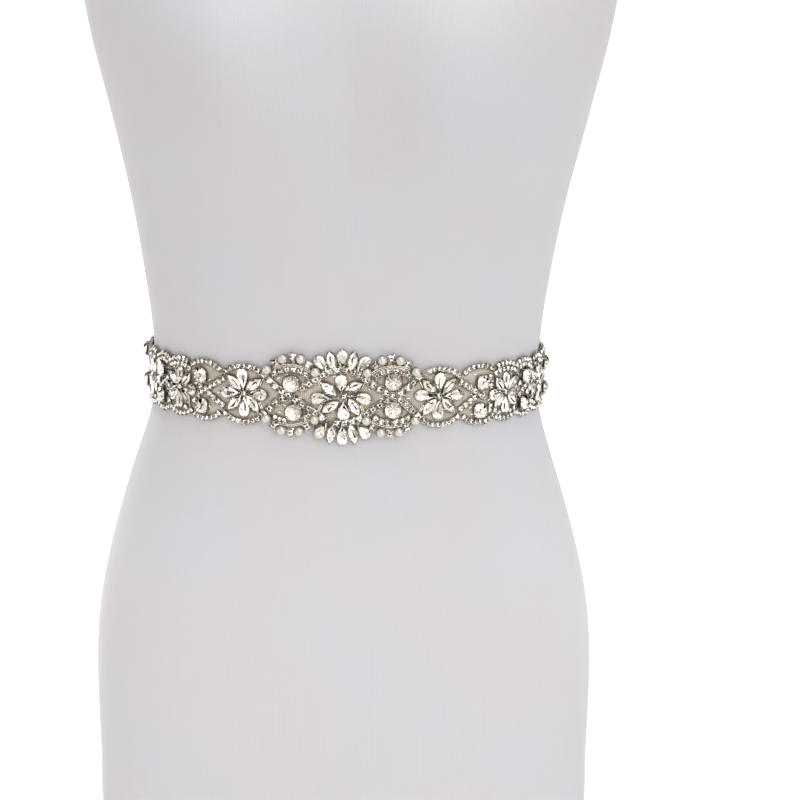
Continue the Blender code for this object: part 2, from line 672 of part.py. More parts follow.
def chain_routes():
    """Where the chains of small stones run: strands, edges, arcs and crossings."""
    routes = []
    for upward in (1.0, -1.0):
        half = [(s, v * upward) for s, v in STRAND]
        routes.append([(-s, v) for s, v in reversed(half[1:])] + half)
    edge = scalloped_edge()
    for side in (1.0, -1.0):
        for upward in (1.0, -1.0):
            routes.append([(side * s, upward * v) for s, v in edge])
        for motif in MOTIFS:
            kind, place, half_span, peak = motif[:4]
            spans = [half_span * (k / 8.0 - 1.0) for k in range(17)]
            for upward in (1.0, -1.0):
                if kind == "great_pair":
                    routes.append([(side * (place + span),
                                    upward * scallop_height(place + span, motif))
                                   for span in spans])
                if kind == "pair":
                    routes.append([(side * (place + span), upward * 0.46 * peak * span / half_span)
                                   for span in spans])
    return [evenly_spaced(route, CHAIN_STEP) for route in routes]


def distance_to_line(s, v, points, closed=False):
    """How far a place is from a line of points."""
    best = math.inf
    after = points[1:] + points[:1] if closed else points[1:]
    for (s1, v1), (s2, v2) in zip(points, after):
        ds, dv = s2 - s1, v2 - v1
        share = ((s - s1) * ds + (v - v1) * dv) / max(ds * ds + dv * dv, 1e-9)
        share = min(max(share, 0.0), 1.0)
        best = min(best, math.hypot(s - s1 - share * ds, v - v1 - share * dv))
    return best


def chain_ridges(stones, outline):
    """The crest lines that lie clear of the stones, the edge and each other."""
    crests = []
    for route in chain_routes():
        runs = [[]]
        for s, v in route:
            clear = distance_to_line(s, v, outline, closed=True) > CHAIN_HALF_WIDTH + 0.3
            clear = clear and all(
                distance_to_line(s, v, stone.outline(1.0), closed=True) > CHAIN_HALF_WIDTH + 0.3
                and stone.share_at(s, v) > 1.0 for stone in stones)
            clear = clear and all(
                distance_to_line(s, v, crest) > 2.0 * CHAIN_HALF_WIDTH + 0.5 for crest in crests)
            if clear:
                runs[-1].append((s, v))
            elif runs[-1]:
                runs.append([])
        crests += [run for run in runs if len(run) > 1]
    return crests


def ridge_foot(crest):
    """The closed line round a crest where its ridge meets the backing."""
    left, right = [], []
    for k, (s, v) in enumerate(crest):
        before, after = crest[max(k - 1, 0)], crest[min(k + 1, len(crest) - 1)]
        ds, dv = after[0] - before[0], after[1] - before[1]
        size = math.hypot(ds, dv)
        ds, dv = ds / size * CHAIN_HALF_WIDTH, dv / size * CHAIN_HALF_WIDTH
        ends = 0.8 * ((k == len(crest) - 1) - (k == 0))
        left.append((s - dv + ds * ends, v + ds + dv * ends))
        right.append((s + dv + ds * ends, v - ds + dv * ends))
    return left + right[::-1]


def backing_outline(stones):
    """The scalloped edge of the backing, a margin outside all chains and stones."""
    grow = CHAIN_HALF_WIDTH + BACKING_MARGIN

    def edge_at(s):
        edges = [scallop_height(abs(s), motif, grow) for motif in MOTIFS]
        for stone in stones:
            radius = stone.half_length + BACKING_MARGIN
            if stone.up >= 0.0 and abs(s - stone.place) < radius:
                edges.append(stone.up + math.sqrt(radius ** 2 - (s - stone.place) ** 2))
        return max(edges)

    reach = MOTIFS[-1][1] + scallop_reach(MOTIFS[-1]) + grow
    count = round(2.0 * reach / OUTLINE_STEP)
    places = [reach * (2.0 * k / count - 1.0) for k in range(1, count)]
    upper = [(s, edge_at(s)) for s in places]
    lower = [(s, -v) for s, v in reversed(upper)]
    return [(-reach, 0.0)] + upper + [(reach, 0.0)] + lower


def inside_outline(outline, s, v, clear):
    """True where a place lies inside the outline and off its edge."""
    inside = False
    for (s1, v1), (s2, v2) in zip(outline, outline[1:] + outline[:1]):
        if (v1 > v) != (v2 > v) and s < (s2 - s1) * (v - v1) / (v2 - v1) + s1:
            inside = not inside
    return inside and distance_to_line(s, v, outline, closed=True) > clear


def triangulate(outline, loops, crests, spots):
    """Constrained triangles inside the outline, through the loops, crests and spots."""
    points = [Vector(point) for point in outline]
    edges = [(k, (k + 1) % len(outline)) for k in range(len(outline))]
    for loop in loops:
        first = len(points)
        points += [Vector(point) for point in loop]
        edges += [(first + k, first + (k + 1) % len(loop)) for k in range(len(loop))]
    for crest in crests:
        first = len(points)
        points += [Vector(point) for point in crest]
        edges += [(first + k, first + k + 1) for k in range(len(crest) - 1)]
    points += [Vector(point) for point in spots]
    result = delaunay_2d_cdt(points, edges, [], 1, 1e-4)
    return [tuple(point) for point in result[0]], [tuple(face) for face in result[2]]


def grid_spots(outline, step_s, step_v, clear, away_from):
    """A plain grid of places inside the outline, clear of other points."""
    spots = []
    reach = max(abs(point[0]) for point in outline)
    tall = max(abs(point[1]) for point in outline)
    for i in range(-int(reach / step_s), int(reach / step_s) + 1):
        for j in range(-int(tall / step_v), int(tall / step_v) + 1):
            s, v = i * step_s, j * step_v
            crowded = any(math.hypot(s - p[0], v - p[1]) < clear for p in away_from)
            if not crowded and inside_outline(outline, s, v, clear):
                spots.append((s, v))
    return spots


def build_applique():
    """The beaded applique: stones, pearls and chains raised over a plain inside."""
    stones = applique_stones()
    outline = backing_outline(stones)
    crests = chain_ridges(stones, outline)
    loops = [stone.outline(share) for stone in stones for share, _ in stone.levels]
    loops += [ridge_foot(crest) for crest in crests]
    taken = [point for line in loops + crests for point in line]
    spots = grid_spots(outline, 9.0, 8.0, 2.4, taken)
    face_points, face_triangles = triangulate(outline, loops, crests, spots)
    back_spots = grid_spots(outline, 9.0, 10.0, 2.4, [])
    back_points, back_triangles = triangulate(outline, [], [], back_spots)

    def rise_at(s, v):
        rise = max(stone.rise_at(s, v) for stone in stones)
        if rise == 0.0 and any(distance_to_line(s, v, crest) < 0.01 for crest in crests):
            rise = CHAIN_RISE
        return rise

    edge = set(range(len(outline)))
    points = []
    for k, (s, v) in enumerate(face_points):
        rise = 0.0 if k in edge else rise_at(s, v)
        points.append(skin(s + APPLIQUE_ASIDE, WAIST_HEIGHT + v, APPLIQUE_FACE + rise))
    shift = len(points)
    for s, v in back_points:
        points.append(skin(s + APPLIQUE_ASIDE, WAIST_HEIGHT + v, APPLIQUE_INNER))
    faces = list(face_triangles)
    faces += [tuple(k + shift for k in reversed(face)) for face in back_triangles]
    count = len(outline)
    for k in range(count):
        after = (k + 1) % count
        faces.append((k, after, after + shift, k + shift))
    return add_object("rhinestone_applique", points, faces, "beadwork", 25.0)


# ------------------------------------------------------------------------------- build
for leftover in list(bpy.data.objects):
    bpy.data.objects.remove(leftover, do_unlink=True)

build_dress_form()
build_waist_band()
build_applique()
build_knot()
for loop_name in LOOPS:
    build_loop(loop_name)
for tail_name in TAILS:
    build_tail(tail_name)
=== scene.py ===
"""Looks of the beaded bridal sash and of the dress form that wears it.

Everything is laid out in millimetres in the form's skin coordinates: `s` is the distance
round the waist from the front centre (towards +X), `v` the height over the middle of the
sash and `h` the height above the form's skin.  The front faces -Y and the bow +Y.
"""
import math
import random

import bpy
from mathutils import Matrix, Vector
from mathutils.geometry import delaunay_2d_cdt


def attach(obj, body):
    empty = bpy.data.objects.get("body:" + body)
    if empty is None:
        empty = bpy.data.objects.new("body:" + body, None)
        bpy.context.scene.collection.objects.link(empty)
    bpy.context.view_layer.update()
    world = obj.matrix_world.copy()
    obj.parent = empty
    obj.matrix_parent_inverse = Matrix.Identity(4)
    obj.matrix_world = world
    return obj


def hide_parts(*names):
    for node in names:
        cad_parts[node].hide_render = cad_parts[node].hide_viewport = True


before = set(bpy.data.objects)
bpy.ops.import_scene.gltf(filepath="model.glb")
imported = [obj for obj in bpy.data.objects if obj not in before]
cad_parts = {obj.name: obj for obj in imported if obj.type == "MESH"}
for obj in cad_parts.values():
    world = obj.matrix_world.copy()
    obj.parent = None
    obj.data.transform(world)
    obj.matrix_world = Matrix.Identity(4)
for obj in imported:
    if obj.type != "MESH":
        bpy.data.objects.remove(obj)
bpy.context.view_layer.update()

MM = 0.001

# ---------------------------------------------------------------- sizes of the CAD model
WAIST_HEIGHT = 293.5
AXIS_Y = -2.1
SASH_TILT = 0.009
APPLIQUE_ASIDE = -1.8
KNOT_DROP = 7.0
NET_MIDDLE = 2.15           # middle of the net above the skin
NET_FACE = 2.40             # where the stones and beads are sewn down
RIBBON_WIDTH = 25.0
FLAT = RIBBON_WIDTH / 2.0   # half the width of ribbon that lies flat

FORM_SECTIONS = [
    # height, aside, half_width, front, back, squareness
    (0.0, -3.4, 151.5, 94.0, 112.0, 2.20),
    (4.0, -3.4, 153.0, 95.5, 113.5, 2.20),
    (45.0, -3.4, 154.8, 97.5, 117.5, 2.20),
    (100.0, -3.4, 156.4, 99.0, 120.0, 2.20),
    (140.0, -3.4, 154.4, 98.5, 117.5, 2.20),
    (176.0, -3.5, 147.8, 96.5, 111.0, 2.22),
    (214.0, -3.6, 137.6, 93.0, 102.0, 2.25),
    (240.0, -3.5, 129.6, 90.5, 95.5, 2.28),
    (266.0, -2.7, 121.9, 88.6, 89.6, 2.30),
    (290.0, -2.0, 119.0, 88.0, 87.0, 2.30),
    (314.0, -1.7, 120.3, 89.5, 88.0, 2.30),
    (354.0, -1.4, 125.6, 93.5, 93.0, 2.28),
    (405.0, -0.6, 135.0, 98.0, 101.0, 2.25),
    (456.0, 0.2, 147.2, 101.0, 109.0, 2.25),
    (507.0, 0.2, 159.6, 101.0, 113.5, 2.30),
    (552.0, 0.1, 166.6, 97.0, 114.0, 2.30),
    (592.0, 0.0, 168.0, 89.0, 110.0, 2.30),
    (626.0, 0.0, 165.6, 78.5, 101.0, 2.25),
    (648.0, 0.0, 158.0, 69.5, 90.0, 2.20),
    (663.0, 0.0, 142.0, 62.5, 80.0, 2.10),
    (675.0, 0.0, 118.0, 57.0, 71.5, 2.00),
    (687.0, 0.0, 90.0, 53.5, 65.0, 2.00),
    (702.0, 0.0, 67.5, 51.0, 59.0, 2.00),
    (722.0, 0.0, 57.0, 49.5, 54.5, 2.00),
    (741.0, 0.0, 54.5, 48.5, 52.0, 2.00),
    (745.0, 0.0, 53.0, 47.0, 50.5, 2.00),
]
BUST_APEX_X, BUST_APEX_HEIGHT, BUST_RISE = 74.0, 478.0, 27.0
BUST_SPREAD_X, BUST_SPREAD_UP, BUST_SPREAD_DOWN = 36.0, 66.0, 40.0
FORM_COLUMNS = 156
FORM_ROWS = 150

# The motifs of the applique from the medallion outwards, mirrored to both sides.
MOTIFS = [
    # kind, place, half_span, peak, stones_at, stone_length, stone_width
    ("great_pair", 30.3, 10.8, 17.8, 8.5, 10.5, 10.5),
    ("flower", 58.6, 13.0, 17.3, 8.4, 12.2, 6.7),
    ("pair", 84.8, 12.3, 17.6, 8.7, 9.2, 9.2),
    ("flower", 103.9, 12.4, 17.1, 7.3, 10.8, 6.4),
    ("pair", 121.0, 10.0, 17.2, 8.4, 8.5, 8.5),
    ("flower", 138.0, 11.6, 16.6, 7.3, 10.6, 6.2),
    ("pair", 154.8, 10.0, 16.6, 8.2, 8.3, 8.3),
    ("flower", 171.6, 11.4, 15.6, 7.2, 9.4, 5.7),
    ("pair", 188.2, 9.4, 14.4, 7.6, 7.6, 7.6),
    ("tip", 196.0, 9.2, 9.8, 4.6, 6.0, 6.0),
]
SCALLOP_ROUND = 1.35        # a scallop is an oval this much wider than its own span
SCALLOPS_FROM = 47.2        # the scalloped edge starts after the great pair's border
SECOND_ROW, SECOND_ROW_FROM = 3.4, 96.0     # a second row inside the edge, from there on
CROSS_SLOPE = 0.046         # a crossing's rise, as a share of the peak for a tenth of its span
FIRST_GAP = 92.6            # from the front centre to the gap after the first pair
MEDALLION_PETALS = [
    # across, up, lean_degrees, length, width, cut
    (0.0, 8.2, 92.0, 10.6, 7.0, "teardrop"),
    (7.3, 6.4, 22.0, 11.2, 5.8, "marquise"),
    (11.9, -0.6, -15.0, 11.6, 7.1, "teardrop"),
    (7.7, -6.2, -59.0, 11.8, 5.9, "marquise"),
    (1.6, -8.8, -88.0, 10.4, 7.1, "teardrop"),
    (-6.3, -6.5, 213.0, 11.6, 5.8, "marquise"),
    (-12.0, -1.3, 180.0, 11.6, 7.1, "teardrop"),
    (-7.4, 4.6, 137.0, 12.0, 5.9, "marquise"),
]
MEDALLION_HEART = (1.6, 0.3)
CROWN_STONES = [
    # across, up, lean_degrees, cut: five petals over and five under the medallion
    (0.0, 22.9, 90.0, "teardrop"),
    (6.3, 22.4, 76.0, "marquise"),
    (12.0, 19.9, 57.0, "teardrop"),
]
CROWN_LENGTH, CROWN_WIDTH = 12.2, 6.2
CROWN_SHIFTS = {1.0: (0.3, -0.4), -1.0: (1.2, 0.6)}     # over, under: across, outwards
GREAT_PAIR_BORDER = [
    # place, up, size, kind: the outer border of pearls and single stones
    (15.3, 15.2, 5.6, "pearl"),
    (19.5, 19.5, 4.6, "cup"),
    (23.8, 23.0, 5.6, "pearl"),
    (29.1, 23.8, 4.6, "cup"),
    (34.4, 22.7, 5.6, "pearl"),
    (39.3, 19.9, 4.6, "cup"),
    (43.9, 15.6, 5.6, "pearl"),
]
GREAT_ARC_REACH, GREAT_ARC_PEAK = 16.8, 16.0    # the chain over and under a great pair
BORDER_MIDDLE, LOWER_SQUEEZE = 31.5, 0.965      # the lower border lies a little nearer
HAND_SHIFTS = {
    # (place, side, upward): how far a round stone was set from its even place, s and v
    (30.3, -1.0, 1.0): (0.7, -1.2),
    (30.3, -1.0, -1.0): (2.3, -2.0),
    (30.3, 1.0, 1.0): (0.4, 0.9),
    (30.3, 1.0, -1.0): (0.6, 0.4),
    (84.8, 1.0, 1.0): (2.0, -1.6),
    (84.8, 1.0, -1.0): (0.2, -1.8),
    (84.8, -1.0, 1.0): (-2.6, 0.3),
    (84.8, -1.0, -1.0): (-1.5, -1.7),
    (121.0, 1.0, -1.0): (-2.2, -0.8),
    (154.8, -1.0, 1.0): (0.0, 4.2),
    (154.8, -1.0, -1.0): (0.0, 1.4),
}
SAG, SAG_PLACE, SAG_REACH = 1.8, 110.0, 28.0    # the motifs hang a little low at the sides
STRAND = [
    # place, up: the strand over the medallion that crosses its twin between the great pair
    (0.0, 16.6), (4.5, 16.2), (8.9, 14.6), (13.0, 12.1), (17.0, 9.2), (20.9, 6.4),
    (24.8, 3.9), (28.8, 1.8), (32.6, -0.5), (36.3, -3.0), (39.8, -6.0), (43.0, -9.2),
    (45.8, -12.2),
]
CUPS = {
    # kind: pitch along its line, cup_size, stone_size, girdle
    "strand": (4.75, 4.4, 3.7, 1.15),
    "cross": (3.8, 3.7, 3.1, 1.05),
    "arc": (4.2, 3.8, 3.2, 1.05),
    "chain": (3.15, 3.1, 2.8, 0.95),
    "cup": (0.0, 4.6, 4.0, 1.3),
    "heart": (0.0, 3.4, 3.2, 1.5),
}
CUP_FOOT = -0.1             # a cup's foot is pressed this far into the net's face
PETAL_GIRDLE, PETAL_TOP = 1.45, 2.25            # heights over the net's face
ROUND_GIRDLE, ROUND_TOP = 1.75, 3.6
TALL_GIRDLE, TALL_TOP, TALL_FROM = 2.8, 4.9, 100.0      # cushions set high at the sides
ROUND_KEEL = 1.55           # from a round stone's girdle down to its point
TUBE_ROWS = (2.1, 3.1)      # tube beads lie this far outside the great pair's arcs
TUBE_PITCH, TUBE_LENGTH, TUBE_WIDTH = 2.3, 2.25, 0.75
SEED_LENGTH, SEED_WIDTH, SEEDS_APART = 2.1, 0.95, 4.0
SMALL_BEAD_LIFT = 0.5       # the middle of a small bead over the net's face

NET_MARGIN = -0.4           # the net is trimmed off under the outermost cups
EDGE_SHARES = {1.0: 0.945, -1.0: 1.06}  # the upper edge is a little flatter than the lower
NET_STEP = 1.3              # between the net's inner mesh points
NET_EDGE_STEP = 0.9         # between the points of its edge
NET_THICKNESS = 0.3
# Past the ribbon's edges the net sinks back towards the form: how far, from where, over what.
SINK, SINK_FROM, SINK_OVER = 1.0, 11.5, 5.0


# ------------------------------------------------------------------------ small numbers
def steepness(rows, k, column):
    """How fast a column rises from row k to the next."""
    return (rows[k + 1][column] - rows[k][column]) / (rows[k + 1][0] - rows[k][0])


def smooth_between(rows, where):
    """Read a table's other columns smoothly at a value of its first, with no overshoot."""
    where = min(max(where, rows[0][0]), rows[-1][0])
    last = len(rows) - 2
    k = next((i for i in range(last + 1) if where <= rows[i + 1][0]), last)
    span = rows[k + 1][0] - rows[k][0]
    t = (where - rows[k][0]) / span
    values = []
    for column in range(1, len(rows[0])):
        slope = steepness(rows, k, column)
        slopes = []
        for near in (max(k - 1, 0), min(k + 1, last)):
            other = steepness(rows, near, column)
            level = near != k and slope * other <= 0.0
            slopes.append(0.0 if level else 0.5 * (slope + other))
        a = 2 * t ** 3 - 3 * t ** 2 + 1
        b = t ** 3 - 2 * t ** 2 + t
        c = -2 * t ** 3 + 3 * t ** 2
        d = t ** 3 - t ** 2
        values.append(a * rows[k][column] + b * span * slopes[0]
                      + c * rows[k + 1][column] + d * span * slopes[1])
    return values


def signed_power(value, power):
    return math.copysign(abs(value) ** power, value)


def ease(value):
    """0 up to 0, 1 from 1, and smooth between."""
    value = min(max(value, 0.0), 1.0)
    return value * value * (3.0 - 2.0 * value)


# --------------------------------------------------------------------- the form's skin
def section_point(height, angle):
    """A point of the form's skin; angle 0 is the front centre, a quarter turn is +X."""
    aside, half_width, front, back, squareness = smooth_between(FORM_SECTIONS, height)
    x = half_width * signed_power(math.sin(angle), 2.0 / squareness)
    across = signed_power(math.cos(angle), 2.0 / squareness)
    reach = front if across > 0.0 else back
    y = -reach * across
    if across > 0.0:
        spread = BUST_SPREAD_UP if height > BUST_APEX_HEIGHT else BUST_SPREAD_DOWN
        off_x = (abs(x) - BUST_APEX_X) / BUST_SPREAD_X
        off_z = (height - BUST_APEX_HEIGHT) / spread
        y -= BUST_RISE * math.exp(-0.5 * (off_x ** 2 + off_z ** 2)) * across ** 0.5
    return Vector((x + aside, y + AXIS_Y, height))


def waist_table(steps=1440):
    """Distance round the waist for evenly stepped angles, from the front centre."""
    table = [(0.0, 0.0)]
    before = section_point(WAIST_HEIGHT, 0.0)
    for k in range(1, steps + 1):
        angle = 2.0 * math.pi * k / steps
        point = section_point(WAIST_HEIGHT, angle)
        table.append((table[-1][0] + (point - before).length, angle))
        before = point
    return table


WAIST = waist_table()
WAIST_GIRTH = WAIST[-1][0]
BACK_CENTRE = WAIST_GIRTH / 2.0


def angle_at(s):
    """The section angle that lies s round the waist."""
    s = s % WAIST_GIRTH
    low, high = 0, len(WAIST) - 1
    while high - low > 1:
        middle = (low + high) // 2
        if WAIST[middle][0] <= s:
            low = middle
        else:
            high = middle
    share = (s - WAIST[low][0]) / (WAIST[high][0] - WAIST[low][0])
    return WAIST[low][1] + share * (WAIST[high][1] - WAIST[low][1])


def skin_frame(s, v, h):
    """The point at s, v that stands h above the skin, with the along, up and out axes."""
    angle = angle_at(s)
    z = WAIST_HEIGHT + v
    z -= SASH_TILT * section_point(z, angle).x
    along = section_point(z, angle_at(s + 1.0)) - section_point(z, angle_at(s - 1.0))
    upward = section_point(z + 1.0, angle) - section_point(z - 1.0, angle)
    out = along.cross(upward).normalized()
    along.normalize()
    return section_point(z, angle) + out * h, along, out.cross(along), out


def skin(s, v, h):
    return skin_frame(s, v, h)[0]


def sink(v):
    """How far the net lies below its usual height at v."""
    return SINK * ease((abs(v) - SINK_FROM) / SINK_OVER)


# ----------------------------------------------------------------------------- materials
def linear(hex_colour):
    """An sRGB hex colour as linear RGBA."""
    values = [int(hex_colour[k:k + 2], 16) / 255.0 for k in (1, 3, 5)]
    return (*[c / 12.92 if c <= 0.04045 else ((c + 0.055) / 1.055) ** 2.4 for c in values], 1.0)


def add_node(tree, kind, settings, inputs):
    """Add a node with its settings and links.

    The setting "stops" holds a ramp's (place, hex colour) pairs.  Each input is a value, or
    the socket that feeds it.
    """
    node = tree.nodes.new(kind)
    for name, value in settings.items():
        if name != "stops":
            setattr(node, name, value)
            continue
        elements = node.color_ramp.elements
        while len(elements) < len(value):
            elements.new(0.5)
        for element, (place, hex_colour) in zip(elements, value):
            element.position = place
            element.color = linear(hex_colour)
    for name, value in inputs.items():
        if isinstance(value, bpy.types.NodeSocket):
            tree.links.new(value, node.inputs[name])
        else:
            node.inputs[name].default_value = value
    return node


def new_material(name, finish):
    """A Principled material with constant sockets set; returns it, its tree and shader."""
    material = bpy.data.materials.new(name)
    material.use_nodes = True
    tree = material.node_tree
    shader = tree.nodes["Principled BSDF"]
    for socket, value in finish.items():
        shader.inputs[socket].default_value = value
    return material, tree, shader


WAVE_PERIOD = 2.0 * math.pi / 20.0      # a Wave texture's own period at scale 1


def cotton_jersey():
    """White cotton jersey, circular knitted: fine upright wales and a soft matt bloom."""
    material, tree, shader = new_material("white_cotton_jersey", {
        "Roughness": 0.92, "Sheen Weight": 0.25, "Sheen Roughness": 0.5, "IOR": 1.46,
        "Specular IOR Level": 0.25,
    })
    # A wale is 0.7 mm wide; it is drawn 1.5 mm wide, or it would not show at all.
    uv = add_node(tree, "ShaderNodeUVMap", {"uv_map": "cloth_mm"}, {}).outputs["UV"]
    wales = add_node(tree, "ShaderNodeTexWave", {"bands_direction": "X"},
                     {"Vector": uv, "Scale": WAVE_PERIOD / 1.5, "Distortion": 1.4,
                      "Detail": 2.0, "Detail Scale": 0.4})
    # Its tone runs in upright streaks, about 2 mm wide and 30 mm long, and drifts over 80 mm.
    stretch = add_node(tree, "ShaderNodeMapping", {},
                       {"Vector": uv, "Scale": (0.9, 0.06, 1.0)})
    streaks = add_node(tree, "ShaderNodeTexNoise", {},
                       {"Vector": stretch.outputs["Vector"], "Scale": 0.55, "Detail": 3.0})
    wide = add_node(tree, "ShaderNodeTexNoise", {}, {"Vector": uv, "Scale": 0.012, "Detail": 1.0})
    base = add_node(tree, "ShaderNodeValToRGB",
                    {"stops": [(0.3, "#BDB9BA"), (0.7, "#BBBBBF")]},
                    {"Fac": wide.outputs["Fac"]}).outputs["Color"]
    shade = add_node(tree, "ShaderNodeMath", {"operation": "MULTIPLY"},
                     {0: wales.outputs["Fac"], 1: streaks.outputs["Fac"]})
    tint = add_node(tree, "ShaderNodeValToRGB",
                    {"stops": [(0.1, "#FCFBFC"), (0.5, "#FFFFFF")]},
                    {"Fac": shade.outputs["Value"]}).outputs["Color"]
    colour = add_node(tree, "ShaderNodeMix", {"data_type": "RGBA", "blend_type": "MULTIPLY"},
                      {"Factor": 1.0, "A": base, "B": tint})
    tree.links.new(colour.outputs["Result"], shader.inputs["Base Color"])
    bump = add_node(tree, "ShaderNodeBump", {},
                    {"Height": shade.outputs["Value"], "Strength": 0.13, "Distance": 0.06 * MM})
    # The single loops are drawn 1.2 mm across, which is three times their size.
    loops = add_node(tree, "ShaderNodeTexNoise", {},
                     {"Vector": uv, "Scale": 1.0 / 1.2, "Detail": 2.0})
    grain = add_node(tree, "ShaderNodeBump", {},
                     {"Height": loops.outputs["Fac"], "Normal": bump.outputs["Normal"],
                      "Strength": 0.2, "Distance": 0.08 * MM})
    tree.links.new(grain.outputs["Normal"], shader.inputs["Normal"])
    return material


def polyester_satin():
    """Ivory double-faced satin: long floats that gloss across the ribbon, with painted shade, a
    deeper yellow, in its folds.
    """
    material, tree, shader = new_material("ivory_polyester_satin", {
        "IOR": 1.54, "Specular IOR Level": 1.0, "Anisotropic": 0.7, "Sheen Weight": 0.15,
        "Sheen Roughness": 0.35, "Subsurface Weight": 0.18,
        "Subsurface Radius": (0.0016, 0.0011, 0.0005), "Subsurface Scale": 1.0,
    })
    uv = add_node(tree, "ShaderNodeUVMap", {"uv_map": "cloth_mm"}, {}).outputs["UV"]
    # Threads are 0.15 mm apart; their streaks are drawn 0.5 mm wide so that they show.
    stretch = add_node(tree, "ShaderNodeMapping", {}, {"Vector": uv, "Scale": (1.0, 0.045, 1.0)})
    floats = add_node(tree, "ShaderNodeTexNoise", {},
                      {"Vector": stretch.outputs["Vector"], "Scale": 1.0 / 0.5,
                       "Detail": 4.0, "Roughness": 0.6})
    # Painted shade: the depth attribute turns the satin a darker, deeper yellow in its folds,
    # pleats and creases and about the knot.
    depth = add_node(tree, "ShaderNodeAttribute", {"attribute_name": "depth"}, {})
    base = add_node(tree, "ShaderNodeValToRGB",
                    {"stops": [(0.0, "#DBD6C4"), (0.45, "#D6CCAA"), (1.0, "#BFA863")]},
                    {"Fac": depth.outputs["Fac"]}).outputs["Color"]
    streak = add_node(tree, "ShaderNodeValToRGB",
                      {"stops": [(0.3, "#FAF9F5"), (0.7, "#FFFFFF")]},
                      {"Fac": floats.outputs["Fac"]}).outputs["Color"]
    colour = add_node(tree, "ShaderNodeMix", {"data_type": "RGBA", "blend_type": "MULTIPLY"},
                      {"Factor": 1.0, "A": base, "B": streak})
    tree.links.new(colour.outputs["Result"], shader.inputs["Base Color"])
    rough = add_node(tree, "ShaderNodeMapRange", {},
                     {"Value": floats.outputs["Fac"], "To Min": 0.28, "To Max": 0.38})
    tree.links.new(rough.outputs["Result"], shader.inputs["Roughness"])
    bump = add_node(tree, "ShaderNodeBump", {},
                    {"Height": floats.outputs["Fac"], "Strength": 0.12, "Distance": 0.05 * MM})
    tree.links.new(bump.outputs["Normal"], shader.inputs["Normal"])
    tangent = add_node(tree, "ShaderNodeTangent",
                       {"direction_type": "UV_MAP", "uv_map": "cloth_mm"}, {})
    tree.links.new(tangent.outputs["Tangent"], shader.inputs["Tangent"])
    return material


def nylon_net():
    """Nude nylon net, stiffened with size: a fine cellular ground with a dull shine, with painted
    shade round the stones.
    """
    material, tree, shader = new_material("nude_nylon_net", {
        "Roughness": 0.6, "IOR": 1.53, "Specular IOR Level": 0.4,
    })
    # The cells are 0.7 mm across; they are drawn 1.1 mm across so that they show.
    uv = add_node(tree, "ShaderNodeUVMap", {"uv_map": "cloth_mm"}, {}).outputs["UV"]
    cells = add_node(tree, "ShaderNodeTexVoronoi", {"feature": "DISTANCE_TO_EDGE"},
                     {"Vector": uv, "Scale": 1.0 / 1.1, "Randomness": 0.25})
    # The size in it dries in patches about 8 mm across.
    patches = add_node(tree, "ShaderNodeTexNoise", {}, {"Vector": uv, "Scale": 0.12, "Detail": 3.0})
    base = add_node(tree, "ShaderNodeValToRGB",
                    {"stops": [(0.35, "#B0A89B"), (0.65, "#CAC3B8")]},
                    {"Fac": patches.outputs["Fac"]}).outputs["Color"]
    holes = add_node(tree, "ShaderNodeValToRGB",
                     {"stops": [(0.05, "#FFFFFF"), (0.3, "#CFCAC0")]},
                     {"Fac": cells.outputs["Distance"]}).outputs["Color"]
    # Painted shade darkens the net round everything sewn to it. It is darkest at the stones' edges,
    # where the gaps between them lie in shade; thread and glue add a little to it.
    sewing = add_node(tree, "ShaderNodeAttribute", {"attribute_name": "sewing"}, {})
    thread_and_shade_tint = add_node(tree, "ShaderNodeValToRGB",
                    {"stops": [(0.0, "#FFFFFF"), (0.5, "#DDD7CF"), (1.0, "#8C8377")]},
                    {"Fac": sewing.outputs["Fac"]}).outputs["Color"]
    knit = add_node(tree, "ShaderNodeMix", {"data_type": "RGBA", "blend_type": "MULTIPLY"},
                    {"Factor": 1.0, "A": base, "B": holes})
    colour = add_node(tree, "ShaderNodeMix", {"data_type": "RGBA", "blend_type": "MULTIPLY"},
                      {"Factor": 1.0, "A": knit.outputs["Result"], "B": thread_and_shade_tint})
    tree.links.new(colour.outputs["Result"], shader.inputs["Base Color"])
    bump = add_node(tree, "ShaderNodeBump", {"invert": True},
                    {"Height": cells.outputs["Distance"], "Strength": 0.5, "Distance": 0.15 * MM})
    tree.links.new(bump.outputs["Normal"], shader.inputs["Normal"])
    return material


def cut_glass():
    """Machine-cut crystal glass: flat polished facets, clear, with sharp bright edges."""
    return new_material("cut_crystal_glass", {
        "Base Color": linear("#FFFFFF"), "Roughness": 0.0, "IOR": 1.56,
        "Transmission Weight": 1.0,
    })[0]


def mirror_foil():
    """Vacuum-silvered foil under each stone: a mirror, each stone a little different."""
    material, tree, shader = new_material("silvered_foil", {"Metallic": 1.0, "Roughness": 0.04})
    tone = add_node(tree, "ShaderNodeAttribute", {"attribute_name": "tone"}, {})
    colour = add_node(tree, "ShaderNodeValToRGB",
                      {"stops": [(0.0, "#CEC8BC"), (0.4, "#E8E3DA"), (1.0, "#F8F5EF")]},
                      {"Fac": tone.outputs["Fac"]}).outputs["Color"]
    tree.links.new(colour, shader.inputs["Base Color"])
    return material


def lacquer_and_shade_band():
    """Lacquer that guards the foil, drawn near black: painted shade for the dark bar at a stone's
    side, where the gap under its girdle is in shade.
    """
    return new_material("near_black_lacquer_painted_shade", {
        "Base Color": linear("#0F0D0B"), "Roughness": 0.5, "IOR": 1.5,
    })[0]


